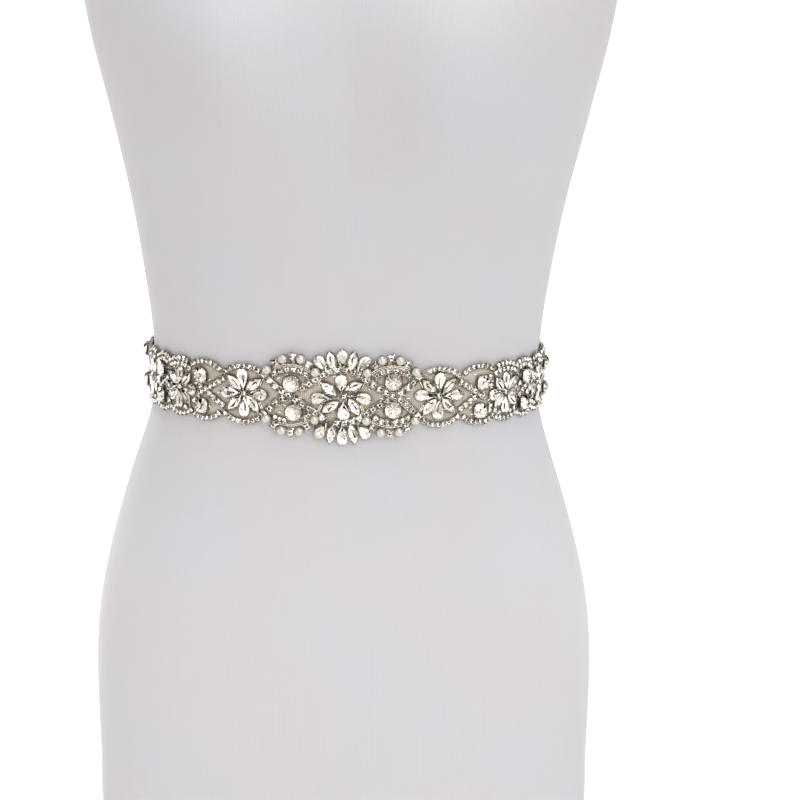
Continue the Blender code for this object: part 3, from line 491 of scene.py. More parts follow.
def plated_brass():
    """Silver-plated stamped brass, greyer than bright plate: tarnish in spots, and partly painted
    shade for the dark outlines between the stones.
    """
    material, tree, shader = new_material("silver_plated_brass", {"Metallic": 1.0})
    place = add_node(tree, "ShaderNodeTexCoord", {}, {}).outputs["Object"]
    # The grey, tarnish and painted shade alike, comes in spots about 2 mm across.
    spots = add_node(tree, "ShaderNodeTexNoise", {},
                     {"Vector": place, "Scale": 1.0 / (2.0 * MM), "Detail": 3.0})
    colour = add_node(tree, "ShaderNodeValToRGB",
                      {"stops": [(0.3, "#6E675F"), (0.5, "#B2ACA2"), (0.7, "#EEEAE4")]},
                      {"Fac": spots.outputs["Fac"]}).outputs["Color"]
    tree.links.new(colour, shader.inputs["Base Color"])
    rough = add_node(tree, "ShaderNodeMapRange", {},
                     {"Value": spots.outputs["Fac"], "To Min": 0.34, "To Max": 0.16})
    tree.links.new(rough.outputs["Result"], shader.inputs["Roughness"])
    return material


def lacquered_pearl():
    """Glass pearl dipped in pearl lacquer: a deep soft shine, faintly pink to cream."""
    material, tree, shader = new_material("lacquered_glass_pearl", {
        "Metallic": 0.65, "Roughness": 0.32, "IOR": 1.53, "Coat Weight": 1.0,
        "Coat Roughness": 0.04,
    })
    tone = add_node(tree, "ShaderNodeAttribute", {"attribute_name": "tone"}, {})
    base = add_node(tree, "ShaderNodeValToRGB",
                    {"stops": [(0.0, "#C6C2B5"), (0.5, "#C8C4BA"), (1.0, "#CBC2B8")]},
                    {"Fac": tone.outputs["Fac"]}).outputs["Color"]
    tree.links.new(base, shader.inputs["Base Color"])
    return material


def silver_lined_glass():
    """Silver-lined glass beads, drawn as tube: long streaks of light over a warm silver."""
    material, tree, shader = new_material("silver_lined_glass", {
        "Metallic": 0.85, "Roughness": 0.18, "Coat Weight": 1.0, "Coat Roughness": 0.03,
    })
    tone = add_node(tree, "ShaderNodeAttribute", {"attribute_name": "tone"}, {})
    colour = add_node(tree, "ShaderNodeValToRGB",
                      {"stops": [(0.0, "#D9CDAE"), (0.5, "#F1E9D3"), (1.0, "#FBF8EE")]},
                      {"Fac": tone.outputs["Fac"]}).outputs["Color"]
    tree.links.new(colour, shader.inputs["Base Color"])
    return material


def painted_floor():
    """A matt pale grey painted studio floor, with hardly a cloud in its tone."""
    material, tree, shader = new_material("matt_pale_floor", {"Roughness": 0.9})
    place = add_node(tree, "ShaderNodeTexCoord", {}, {}).outputs["Object"]
    # The paint clouds over about 1.4 m.
    cloud = add_node(tree, "ShaderNodeTexNoise", {}, {"Vector": place, "Scale": 0.7})
    colour = add_node(tree, "ShaderNodeValToRGB",
                      {"stops": [(0.3, "#E6E6E6"), (0.7, "#E8E8E8")]},
                      {"Fac": cloud.outputs["Fac"]}).outputs["Color"]
    tree.links.new(colour, shader.inputs["Base Color"])
    return material


JERSEY = cotton_jersey()
SATIN = polyester_satin()
NET = nylon_net()
GLASS = cut_glass()
FOIL = mirror_foil()
LACQUER_AND_SHADE = lacquer_and_shade_band()
SILVER = plated_brass()
PEARL = lacquered_pearl()
BEAD_GLASS = silver_lined_glass()


# ----------------------------------------------------------------------- making of meshes
def make_piece(name, points, faces, materials, crease_degrees, finishes=None,
               uvs=None, values=None):
    """One object from points in mm, riding on the part's only body.

    Finishes pick a material for each face, uvs are in mm for each point, and values are
    (label, numbers) for each point.  With no crease angle the faces stay flat.
    """
    mesh = bpy.data.meshes.new(name)
    mesh.from_pydata([tuple(p * MM) for p in points], [], faces)
    for material in materials:
        mesh.materials.append(material)
    if finishes:
        mesh.polygons.foreach_set("material_index", finishes)
    if uvs:
        layer = mesh.uv_layers.new(name="cloth_mm")
        flat = [c for loop in mesh.loops for c in uvs[loop.vertex_index]]
        layer.data.foreach_set("uv", flat)
    if values:
        label, numbers = values
        mesh.attributes.new(label, "FLOAT", "POINT").data.foreach_set("value", numbers)
    if crease_degrees is None:
        mesh.shade_flat()
    else:
        mesh.shade_smooth()
        mesh.set_sharp_from_angle(angle=math.radians(crease_degrees))
    mesh.validate()
    piece = bpy.data.objects.new(name, mesh)
    bpy.context.scene.collection.objects.link(piece)
    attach(piece, "root")
    return piece


def ring_faces(count, rings, closed=True):
    """Faces between rings of count points each; closed covers both ends too."""
    faces = []
    for ring in range(rings - 1):
        for k in range(count):
            a, b = ring * count + k, ring * count + (k + 1) % count
            faces.append((a, b, b + count, a + count))
    if closed:
        last = (rings - 1) * count
        faces += [tuple(range(count))[::-1], tuple(last + k for k in range(count))]
    return faces


class Batch:
    """Many small things of one kind, gathered into one mesh."""

    def __init__(self):
        self.points, self.faces, self.finishes, self.tones = [], [], [], []

    def add(self, shape, seat, tone=0.5):
        """Put a shape, (points, faces, finishes), at a seat matrix."""
        points, faces, finishes = shape
        first = len(self.points)
        self.points += [seat @ Vector(p) for p in points]
        self.faces += [tuple(first + k for k in face) for face in faces]
        self.finishes += finishes if finishes else [0] * len(faces)
        self.tones += [tone] * len(points)

    def piece(self, name, materials, slot, crease_degrees):
        return make_piece(name, self.points, self.faces, materials, crease_degrees,
                          self.finishes, None, ("tone", self.tones))


def seat_at(s, v, h, lean=0.0, tip=0.0, roll=0.0):
    """The matrix of a thing sewn at s, v: X along its length, Z out of the net, degrees."""
    point, along, upward, out = skin_frame(s + APPLIQUE_ASIDE, v, h - sink(v))
    turn = Matrix((along, upward, out)).transposed()
    turn = turn @ Matrix.Rotation(math.atan(sink(v - 0.5) - sink(v + 0.5)), 3, "X")
    turn = turn @ Matrix.Rotation(math.radians(lean), 3, "Z")
    turn = turn @ Matrix.Rotation(math.radians(tip), 3, "X")
    turn = turn @ Matrix.Rotation(math.radians(roll), 3, "Y")
    return Matrix.Translation(point) @ turn.to_4x4()


# ---------------------------------------------------------------------- stones and beads
SQUARENESS = {"cushion": 2.9, "square": 6.0}


def cut_outline(cut, half_length, half_width, count, grow=0.0):
    """The girdle of a stone seen from above; a teardrop's wide end is at +X."""
    points = []
    for k in range(count):
        turn = 2.0 * math.pi * k / count
        x, y = math.cos(turn), math.sin(turn)
        if cut == "teardrop":
            y *= 1.39 * abs(math.cos(turn / 2.0)) ** 1.35
        elif cut == "marquise":
            y = math.copysign(1.0 - abs(x) ** 1.8, y) if abs(y) > 1e-6 else 0.0
        elif cut in SQUARENESS:
            power = SQUARENESS[cut]
            swell = (abs(x) ** power + abs(y) ** power) ** (-1.0 / power)
            x, y = x * swell, y * swell
        points.append((x * (half_length + grow), y * (half_width + grow)))
    return points


def shrunk(outline, share):
    """An outline drawn smaller about its middle."""
    return [(x * share, y * share) for x, y in outline]


def brilliant(cut, size, girdle, top, depth, foiled):
    """A brilliant-cut stone: table, stars, kites and halves over a keel of 24 facets.

    The keel is foiled, and the crown's slopes are too where the stone is foiled all over.
    """
    rim = cut_outline(cut, size / 2.0, size / 2.0, 16)
    points = [(x, y, girdle) for x, y in rim]
    for first, share, height in (
            (0, 0.50, top),                                 # the table's corners
            (1, 0.80, girdle + 0.56 * (top - girdle)),      # the crown's shoulders
            (1, 0.42, girdle - 0.66 * depth)):              # the keel's lower corners
        points += [(x * share, y * share, height) for x, y in rim[first::2]]
    points.append((0.0, 0.0, girdle - depth))
    culet = len(points) - 1
    faces = [tuple(range(16, 24))]
    for k in range(8):
        after = (k + 1) % 8
        table, next_table, shoulder, before = 16 + k, 16 + after, 24 + k, 24 + (k - 1) % 8
        faces.append((table, shoulder, next_table))
        faces.append((table, before, 2 * k, shoulder))
        faces.append((2 * k, 2 * k + 1, shoulder))
        faces.append((2 * k + 1, 2 * after, shoulder))
    crown = 1 if foiled else len(faces)
    for k in range(8):
        after = (k + 1) % 8
        low, before = 32 + k, 32 + (k - 1) % 8
        faces.append((culet, low, 2 * k, before))
        faces.append((2 * k, low, 2 * k + 1))
        faces.append((2 * k + 1, low, 2 * after))
    return points, faces, [0] * crown + [1] * (len(faces) - crown)


def cut_stone(cut, length, width, girdle, top, depth, count, table):
    """A faceted stone: a glass table over foiled slopes and a foiled keel with a ridge."""
    outline = cut_outline(cut, length / 2.0, width / 2.0, count)
    half = count // 2
    points = [(x, y, girdle) for x, y in outline]
    points += [(x * table, y * table, top) for x, y in outline[::2]]
    ridge = 0.36 * length / 2.0
    points += [(-ridge, 0.0, girdle - depth), (ridge, 0.0, girdle - depth)]
    left, right = len(points) - 2, len(points) - 1
    faces = [tuple(count + j for j in range(half))]
    for j in range(half):
        table_here, table_next = count + j, count + (j + 1) % half
        before, here, after = (2 * j - 1) % count, 2 * j, 2 * j + 1
        faces.append((table_here, before, here))
        faces.append((table_here, here, after))
        faces.append((table_here, after, table_next))
    for k in range(count):
        after = (k + 1) % count
        here_end = right if outline[k][0] > 1e-6 else left
        next_end = right if outline[after][0] > 1e-6 else left
        if here_end == next_end:
            faces.append((k, here_end, after))
        else:
            faces.append((k, here_end, next_end))
            faces.append((k, next_end, after))
    return points, faces, [0] + [1] * (len(faces) - 1)


def ring_wall(outline_in, outline_out, low, high, finish=0):
    """A thin wall between two outlines: outer side, lip and inner side."""
    rings = ((outline_out, low), (outline_out, high), (outline_in, high), (outline_in, low))
    points = [(x, y, height) for outline, height in rings for x, y in outline]
    faces = ring_faces(len(outline_in), len(rings), closed=False)
    return points, faces, [finish] * len(faces)


def claw(x, y, inward, girdle, reach, width, rise=0.55):
    """A prong that stands beside the stone and is bent over its edge."""
    bite = [
        # inward, height, half_width, half_thickness, lean
        (-0.30, 0.1, width * 0.62, 0.17, 0.0),
        (-0.30, girdle + 0.15, width * 0.55, 0.17, 0.35),
        (0.15 * reach, girdle + rise, width * 0.46, 0.15, 0.9),
        (reach, girdle + rise + 0.28, width * 0.24, 0.10, 1.25),
    ]
    c, s = math.cos(inward), math.sin(inward)
    points = []
    for step, height, half, thick, lean in bite:
        for side, face in ((-1, -1), (1, -1), (1, 1), (-1, 1)):
            out = step - face * thick * math.cos(lean)
            up = height + face * thick * math.sin(lean)
            points.append((x + c * out - s * half * side, y + s * out + c * half * side, up))
    faces = [(0, 1, 2, 3), (12, 15, 14, 13)]
    for k in range(3):
        for j in range(4):
            a, b = 4 * k + j, 4 * k + (j + 1) % 4
            faces.append((a, a + 4, b + 4, b))
    return points, faces, []


def merged(shapes):
    """Several shapes as one."""
    points, faces, finishes = [], [], []
    for more_points, more_faces, more_finishes in shapes:
        first = len(points)
        points += more_points
        faces += [tuple(first + k for k in face) for face in more_faces]
        finishes += more_finishes if more_finishes else [0] * len(more_faces)
    return points, faces, finishes


def petal_setting(cut, length, width, girdle):
    """The stamped cup of a petal stone with its four claws."""
    inner = cut_outline(cut, length / 2.0, width / 2.0, 24, 0.03)
    outer = cut_outline(cut, length / 2.0, width / 2.0, 24, 0.30)
    shapes = [ring_wall(inner, outer, CUP_FOOT, girdle + 0.05)]
    places = cut_outline(cut, length / 2.0, width / 2.0, 360, 0.15)
    for turn in (0, 105, 180, 255) if cut == "teardrop" else (0, 90, 180, 270):
        x, y = places[turn]
        shapes.append(claw(x, y, math.atan2(-y, -x), girdle, 0.7, 0.8))
    return merged(shapes)


def round_setting(cut, size, girdle, open_back):
    """Eight claws on a ring; an open one shows the stone's lacquered back as a near-black band,
    painted shade for the gap under its girdle.
    """
    outline = cut_outline(cut, size / 2.0, size / 2.0, 24)
    places = cut_outline(cut, size / 2.0, size / 2.0, 360)
    back = shrunk(outline, 0.97)
    seam = girdle - 1.3
    # The upper band of an open setting is near-black lacquer, painted shade under the girdle.
    shapes = [ring_wall(shrunk(outline, 0.86), shrunk(outline, 0.98), CUP_FOOT, seam),
              ring_wall(shrunk(back, 0.92), back, seam, girdle - 0.02, 1 if open_back else 0)]
    for corner in (45.0, 135.0, 225.0, 315.0):
        for side in (-1, 1):
            at = math.radians(corner) + side * 0.16
            x, y = places[round(math.degrees(at))]
            shapes.append(claw(x, y, at + math.pi, girdle, 0.9, 0.62))
    return merged(shapes)


def square_cup(size, girdle):
    """A chain's square cup with a claw bent in at each corner."""
    half = size / 2.0
    outer = [(half, half), (-half, half), (-half, -half), (half, -half)]
    shapes = [ring_wall(shrunk(outer, 0.84), outer, CUP_FOOT, girdle * 0.72)]
    for x, y in shrunk(outer, 0.86):
        shapes.append(claw(x, y, math.atan2(-y, -x), girdle, 0.30 * half, 0.34 * half, 0.35))
    return merged(shapes)


def turned_bead(profile, columns):
    """A bead turned about its hole from (along, radius) rows, closed at both ends."""
    points = []
    for along, radius in profile:
        for j in range(columns):
            turn = 2.0 * math.pi * j / columns
            points.append((along, radius * math.cos(turn), radius * math.sin(turn)))
    return points, ring_faces(columns, len(profile)), []


def pearl_ball():
    """A drilled round bead of size 1, smooth, its hole lying level with the net."""
    rings, hole = 14, 0.14
    turns = [hole + (math.pi - 2.0 * hole) * k / rings for k in range(rings + 1)]
    return turned_bead([(0.5 * math.cos(turn), 0.5 * math.sin(turn)) for turn in turns], 20)


def tube_bead(length, width):
    """A glass tube bead with softly melted ends."""
    profile = [(-0.5, 0.30), (-0.5, 0.44), (-0.47, 0.5), (0.47, 0.5), (0.5, 0.44), (0.5, 0.30)]
    return turned_bead([(share * length, radius * width) for share, radius in profile], 8)


# ----------------------------------------------------------------- layout of the applique
class Sewn:
    """One stone, pearl or cup on the net: its kind, place, sizes, lean and cut."""

    def __init__(self, kind, s, v, length, width, lean=0.0, cut="round"):
        self.kind, self.s, self.v = kind, s, v
        self.length, self.width, self.lean, self.cut = length, width, lean, cut

    def is_near(self, s, v, room):
        """True if a round thing of this much room at s, v would touch this one."""
        ds, dv = s - self.s, v - self.v
        c, d = math.cos(math.radians(self.lean)), math.sin(math.radians(self.lean))
        x, y = ds * c + dv * d, dv * c - ds * d
        return (x / (self.length / 2.0 + room)) ** 2 + (y / (self.width / 2.0 + room)) ** 2 < 1.0


def flower_petals(place, length, width, petals_at, chance):
    """Eight petals, teardrops and marquises in turn, set by hand and so a little uneven."""
    petals = []
    for k in range(8):
        lean = 90.0 + 45.0 * k + chance.uniform(-4.0, 4.0)
        turn = math.radians(lean)
        reach = petals_at + chance.uniform(-0.3, 0.4)
        cut = "teardrop" if k % 2 == 0 else "marquise"
        narrow = 1.0 if cut == "teardrop" else 0.88
        petals.append(Sewn("petal", place + reach * math.cos(turn),
                           reach * math.sin(turn) - sag(place),
                           length * chance.uniform(0.97, 1.03), width * narrow,
                           lean + chance.uniform(-4.0, 4.0), cut))
    return petals


def sag(s):
    """How low the motifs' own middle line hangs at s."""
    return SAG * math.exp(-((abs(s) - SAG_PLACE) / SAG_REACH) ** 2)


def big_stones():
    """Every petal, round stone, pearl and border stone of the applique."""
    chance = random.Random(11)
    heart = CUPS["heart"][1]
    sewn = [Sewn("petal", across, up, length, width, lean, cut)
            for across, up, lean, length, width, cut in MEDALLION_PETALS]
    sewn.append(Sewn("heart", *MEDALLION_HEART, heart, heart))
    for kind, place, _, _, stones_at, length, width in MOTIFS:
        for side in (1.0, -1.0):
            s = side * place
            if kind == "flower":
                sewn += flower_petals(s, length, width, stones_at, chance)
                sewn.append(Sewn("heart", s, -sag(s), heart, heart))
            elif kind == "tip":
                sewn.append(Sewn("round", s + side * stones_at, 0.0, length, width))
            else:
                cut = "round" if kind == "great_pair" else "cushion"
                for upward in (1.0, -1.0):
                    ds, dv = HAND_SHIFTS.get((place, side, upward), (0.0, 0.0))
                    sewn.append(Sewn("round", s + ds, upward * stones_at + dv - sag(s), length,
                                     width, chance.uniform(-5.0, 5.0), cut))
    for upward in (1.0, -1.0):
        for side in (1.0, -1.0):
            for across, up, lean, cut in CROWN_STONES:
                if across == 0.0 and side < 0.0:
                    continue
                lean = math.degrees(math.atan2(upward * math.sin(math.radians(lean)),
                                               side * math.cos(math.radians(lean))))
                narrow = 1.0 if cut == "teardrop" else 0.92
                aside, outwards = CROWN_SHIFTS[upward]
                sewn.append(Sewn("petal", side * across + aside, upward * (up + outwards),
                                 CROWN_LENGTH, CROWN_WIDTH * narrow,
                                 lean + chance.uniform(-3.0, 3.0), cut))
            for place, up, size, kind in GREAT_PAIR_BORDER:
                slope = math.degrees(math.atan2(up, place - BORDER_MIDDLE)) - 90.0
                lean = side * upward * slope if kind == "cup" else chance.uniform(0.0, 180.0)
                squeeze = 1.0 if upward > 0.0 else LOWER_SQUEEZE
                sewn.append(Sewn(kind, side * place, upward * up * squeeze, size, size, lean))
    return sewn


def along_route(points, pitch):
    """Evenly spaced places along a line of points, with their directions in degrees."""
    lengths = [0.0]
    for (s1, v1), (s2, v2) in zip(points, points[1:]):
        lengths.append(lengths[-1] + math.hypot(s2 - s1, v2 - v1))
    count = max(1, round(lengths[-1] / pitch))
    places = []
    for k in range(count + 1):
        at = lengths[-1] * k / count
        i = next(j for j in range(len(points) - 1) if at <= lengths[j + 1] + 1e-6)
        share = (at - lengths[i]) / max(lengths[i + 1] - lengths[i], 1e-9)
        (s1, v1), (s2, v2) = points[i], points[i + 1]
        places.append((s1 + share * (s2 - s1), v1 + share * (v2 - v1),
                       math.degrees(math.atan2(v2 - v1, s2 - s1))))
    return places


def scallop_reach(motif):
    """Half the width of the oval that a motif's scallop is a part of."""
    kind, _, half_span = motif[:3]
    return half_span if kind == "tip" else SCALLOP_ROUND * half_span


def scallop_height(s, motif, grow=0.0):
    """How high a motif's scallop stands at s, or 0 where it doesn't reach."""
    share = (s - motif[1]) / (scallop_reach(motif) + grow)
    return (motif[3] + grow) * math.sqrt(1.0 - share ** 2) if abs(share) < 1.0 else 0.0


def scalloped_edge():
    """The line of close chain along one long edge, from the great pair to the tip."""
    _, place, half_span, peak = MOTIFS[-1][:4]
    last = place + 2.0
    count = 200
    line = []
    for k in range(count):
        s = SCALLOPS_FROM + (last - SCALLOPS_FROM) * k / count
        line.append((s, max(scallop_height(s, motif) for motif in MOTIFS[1:-1])))
    # Round the tip the edge turns down to the middle line.
    for k in range(12):
        turn = math.radians(77.0 - 7.0 * k)
        line.append((place + half_span * math.cos(turn), peak * math.sin(turn)))
    return line


def great_pair_arc(grow, first, last, upward):
    """The arc over or under the great pair, from first to last degrees, moved out by grow."""
    turns = [math.radians(first + (last - first) * k / 48) for k in range(49)]
    return [(MOTIFS[0][1] + (GREAT_ARC_REACH + grow) * math.cos(turn),
             upward * (GREAT_ARC_PEAK + grow) * math.sin(turn)) for turn in turns]


def chain_cups(sewn):
    """Strands of single cups, then arcs and edges of chain, and crossings between pairs."""
    cups = []

    def lay(kind, route, room):
        """Lay cups along a route, but for those with less room than this to what is there."""
        pitch, size = CUPS[kind][:2]
        for s, v, lean in along_route(route, pitch):
            if any(other.is_near(s, v, room) for other in sewn + cups):
                continue
            cups.append(Sewn(kind, s, v, size, size, lean))

    for upward in (1.0, -1.0):
        half = [(s, v * upward) for s, v in STRAND]
        lay("strand", [(-s, v) for s, v in reversed(half[1:])] + half, 0.6)
    edge = scalloped_edge()
    for side in (1.0, -1.0):
        for upward in (1.0, -1.0):
            arc = great_pair_arc(0.0, 27.0, 153.0, upward)
            # One of the four arcs was made of the closer chain.
            close = side < 0.0 and upward < 0.0
            lay("chain" if close else "arc", [(side * s, v) for s, v in arc], 1.25)
            share = upward * EDGE_SHARES[upward]
            lay("chain", [(side * s, share * v) for s, v in edge], 1.25)
            lay("chain", [(side * s, share * (v - SECOND_ROW)) for s, v in edge
                          if s > SECOND_ROW_FROM], 1.35)
        for kind, place, half_span, peak in [motif[:4] for motif in MOTIFS]:
            if kind == "pair":
                for upward in (1.0, -1.0):
                    lay("cross", [(side * (place + half_span * k / 10.0),
                                   side * upward * CROSS_SLOPE * peak * k - sag(place))
                                  for k in range(-10, 11)], 1.35)
        # A short upright run closes the gap between the first pair and the flower after it.
        lay("chain", [(side * (FIRST_GAP + 0.9 * math.cos(0.3 * k)), 1.35 * k - sag(FIRST_GAP))
                      for k in range(-10, 11)], 1.3)
    return cups


def small_beads(sewn):
    """Tube beads outside the great pair's arcs and short ones in the gaps."""
    chance = random.Random(5)
    tubes, seeds = [], []
    for side in (1.0, -1.0):
        for upward in (1.0, -1.0):
            for grow in TUBE_ROWS:
                arc = [(side * s, v) for s, v in great_pair_arc(grow, 20.0, 160.0, upward)]
                for s, v, lean in along_route(arc, TUBE_PITCH):
                    c, d = math.cos(math.radians(lean)), math.sin(math.radians(lean))
                    spots = [(s + t * c, v + t * d) for t in (-0.8, 0.0, 0.8)]
                    if not any(o.is_near(a, b, -0.25) for o in sewn for a, b in spots):
                        tubes.append((s, v, lean))
    # Ovals whose gaps get a short bead here and there: middle, half width, half height, tries.
    gaps = [(0.0, 20.0, 15.0, 60)]
    gaps += [(side * place, half_span, peak, 44)
             for _, place, half_span, peak in [motif[:4] for motif in MOTIFS[:-1]]
             for side in (1.0, -1.0)]
    for place, width, height, tries in gaps:
        for _ in range(tries):
            turn, reach = chance.uniform(0.0, 2.0 * math.pi), chance.uniform(0.2, 0.9)
            s, v = place + reach * width * math.cos(turn), reach * height * math.sin(turn)
            near_seed = any(math.hypot(s - p[0], v - p[1]) < SEEDS_APART for p in seeds)
            if near_seed or any(o.is_near(s, v, 0.9) for o in sewn):
                continue
            seeds.append((s, v, chance.uniform(-40.0, 40.0)))
    return tubes, seeds


# ------------------------------------------------------------------------------ the net
def net_outline(sewn):
    """The scalloped edge of the net, a narrow margin outside everything sewn near it."""
    reach = max(abs(o.s) + o.length / 2.0 for o in sewn) + NET_MARGIN
    count = round(2.0 * reach / NET_EDGE_STEP)
    places = [reach * (2.0 * k / count - 1.0) for k in range(1, count)]
    # Round spots that need net behind them; a petal needs one at its middle and its far end.
    backed = []
    for o in sewn:
        radius = (o.width if o.kind == "petal" else o.length) / 2.0 + NET_MARGIN
        backed.append((o.s, o.v, radius))
        if o.kind == "petal":
            far, turn = (o.length - o.width) / 2.0, math.radians(o.lean)
            backed.append((o.s + far * math.cos(turn), o.v + far * math.sin(turn), radius))
    edges = []
    for upward in (1.0, -1.0):
        edge = []
        for s in places:
            best = max(scallop_height(abs(s), motif, 0.3) for motif in MOTIFS)
            best = max(0.6, best * EDGE_SHARES[upward])
            for at_s, at_v, radius in backed:
                if abs(s - at_s) < radius:
                    best = max(best, upward * at_v + math.sqrt(radius ** 2 - (s - at_s) ** 2))
            edge.append((s, upward * best))
        edges.append(edge)
    return [(-reach, 0.0)] + edges[0] + [(reach, 0.0)] + edges[1][::-1]


def build_net(sewn):
    """The net: one stiffened sheet, scalloped along both edges; its flat size and area too."""
    outline = net_outline(sewn)
    tall = max(abs(v) for _, v in outline)
    reach = outline[len(outline) // 2][0]
    tops = {}
    for s, v in outline:
        key = round(s / NET_EDGE_STEP)
        tops[key] = max(tops.get(key, 0.0), abs(v))
    spots = []
    for i in range(-int(reach / NET_STEP), int(reach / NET_STEP) + 1):
        for j in range(-int(tall / NET_STEP), int(tall / NET_STEP) + 1):
            s, v = NET_STEP * (i + (0.5 if j % 2 else 0.0)), NET_STEP * j
            room = min(tops.get(round(s / NET_EDGE_STEP) + d, 0.0) for d in (-1, 0, 1))
            if abs(v) < room - 0.6:
                spots.append((s, v))
    points = [Vector(p) for p in outline + spots]
    edges = [(k, (k + 1) % len(outline)) for k in range(len(outline))]
    flat, _, triangles = delaunay_2d_cdt(points, edges, [], 1, 1e-4)[:3]
    area = sum(abs((flat[b] - flat[a]).cross(flat[c] - flat[a])) / 2.0 for a, b, c in triangles)
    # What is sewn within 9 mm of each 4 mm strip of the net.
    strips = {}
    for o in sewn:
        for strip in range(math.floor((o.s - 9.0) / 4.0), math.floor((o.s + 9.0) / 4.0) + 1):
            strips.setdefault(strip, []).append(o)
    front, rear, sewing = [], [], []
    for p in flat:
        close = strips.get(math.floor(p.x / 4.0), [])
        # Painted shade: the more of these rims round the stones a net point lies within, the darker
        # it is painted.
        touched = [room for room in (1.3, 1.0, 0.7, 0.4)
                   if any(o.is_near(p.x, p.y, room) for o in close)]
        sewing.append(len(touched) / 4.0)
        pucker = 0.10 * math.sin(p.x * 0.9 + 2.0 * math.sin(p.y * 0.4)) * math.sin(p.y * 0.7 + 1.0)
        s = p.x + APPLIQUE_ASIDE
        height = NET_MIDDLE + pucker - sink(p.y)
        front.append(skin(s, p.y, height + NET_THICKNESS / 2.0))
        rear.append(skin(s, p.y, height - NET_THICKNESS / 2.0))
    shift = len(front)
    faces = [tuple(face) for face in triangles]
    faces += [tuple(k + shift for k in reversed(face)) for face in triangles]
    for k in range(len(outline)):
        after = (k + 1) % len(outline)
        faces.append((k, k + shift, after + shift, after))
    uvs = [tuple(p) for p in flat] * 2
    net = make_piece("net_backing", front + rear, faces, [NET], 50.0, None, uvs,
                     ("sewing", sewing * 2))
    size = (2.0 * tall * MM, 2.0 * reach * MM)
    return net, size, area * MM * MM


# --------------------------------------------------------------------- stones set in place
BEADWORK = {
    # piece: materials, slot, crease_degrees
    "petal_crystals": ([GLASS, FOIL], "crystal", None),
    "round_crystals": ([GLASS, FOIL], "crystal", None),
    "chain_crystals": ([GLASS, FOIL], "crystal", None),
    "petal_settings": ([SILVER], "silver_setting", 40.0),
    "round_settings": ([SILVER, LACQUER_AND_SHADE], "silver_setting", 40.0),
    "chain_settings": ([SILVER], "silver_setting", 40.0),
    "glass_pearls": ([PEARL], "pearl", 60.0),
    "tube_beads": ([BEAD_GLASS], "crystal", 50.0),
    "seed_beads": ([BEAD_GLASS], "crystal", 50.0),
}


def build_beadwork():
    """All that is sewn on the net, one joined piece for each kind."""
    chance = random.Random(29)
    sewn = big_stones()
    cups = chain_cups(sewn)
    tubes, seeds = small_beads(sewn + cups)

    batches = {name: Batch() for name in BEADWORK}
    pearl, tube = pearl_ball(), tube_bead(TUBE_LENGTH, TUBE_WIDTH)
    seed = tube_bead(SEED_LENGTH, SEED_WIDTH)
    shapes = {kind: (cut_stone("square", stone, stone, girdle, girdle + 0.27 * stone,
                               0.20 * stone, 8, 0.56), square_cup(size, girdle))
              for kind, (_, size, stone, girdle) in CUPS.items()}
    for o in sewn + cups:
        tone = chance.random()
        tip, roll = chance.uniform(-5.0, 5.0), chance.uniform(-5.0, 5.0)
        if o.kind == "pearl":
            seat = seat_at(o.s, o.v, NET_FACE + o.length / 2.0 - 0.3, o.lean)
            batches["glass_pearls"].add(pearl, seat @ Matrix.Scale(o.length, 4), tone)
        elif o.kind == "petal":
            seat = seat_at(o.s, o.v, NET_FACE, o.lean, tip, roll)
            count = 16 if o.cut == "teardrop" else 12
            stone = cut_stone(o.cut, o.length, o.width, PETAL_GIRDLE, PETAL_TOP, 0.13 * o.width,
                              count, 0.70)
            batches["petal_crystals"].add(stone, seat, tone)
            batches["petal_settings"].add(petal_setting(o.cut, o.length, o.width, PETAL_GIRDLE),
                                          seat)
        elif o.kind == "round":
            seat = seat_at(o.s, o.v, NET_FACE, o.lean, tip * 0.6, roll * 0.6)
            tall = abs(o.s) > TALL_FROM and o.cut == "cushion"
            girdle, top = (TALL_GIRDLE, TALL_TOP) if tall else (ROUND_GIRDLE, ROUND_TOP)
            stone = brilliant(o.cut, o.length, girdle, top, ROUND_KEEL, o.cut == "cushion")
            batches["round_crystals"].add(stone, seat, tone)
            batches["round_settings"].add(round_setting(o.cut, o.length, girdle, tall), seat)
        else:
            seat = seat_at(o.s, o.v, NET_FACE, o.lean + 2.0 * roll, tip * 1.4, roll * 1.4)
            stone, cup = shapes[o.kind]
            batches["chain_crystals"].add(stone, seat, tone)
            batches["chain_settings"].add(cup, seat)
    for name, bead, places in (("tube_beads", tube, tubes), ("seed_beads", seed, seeds)):
        for s, v, lean in places:
            seat = seat_at(s, v, NET_FACE + SMALL_BEAD_LIFT, lean)
            batches[name].add(bead, seat, chance.random())

    pieces = [batches[name].piece(name, *finish) for name, finish in BEADWORK.items()]
    return sewn + cups, pieces


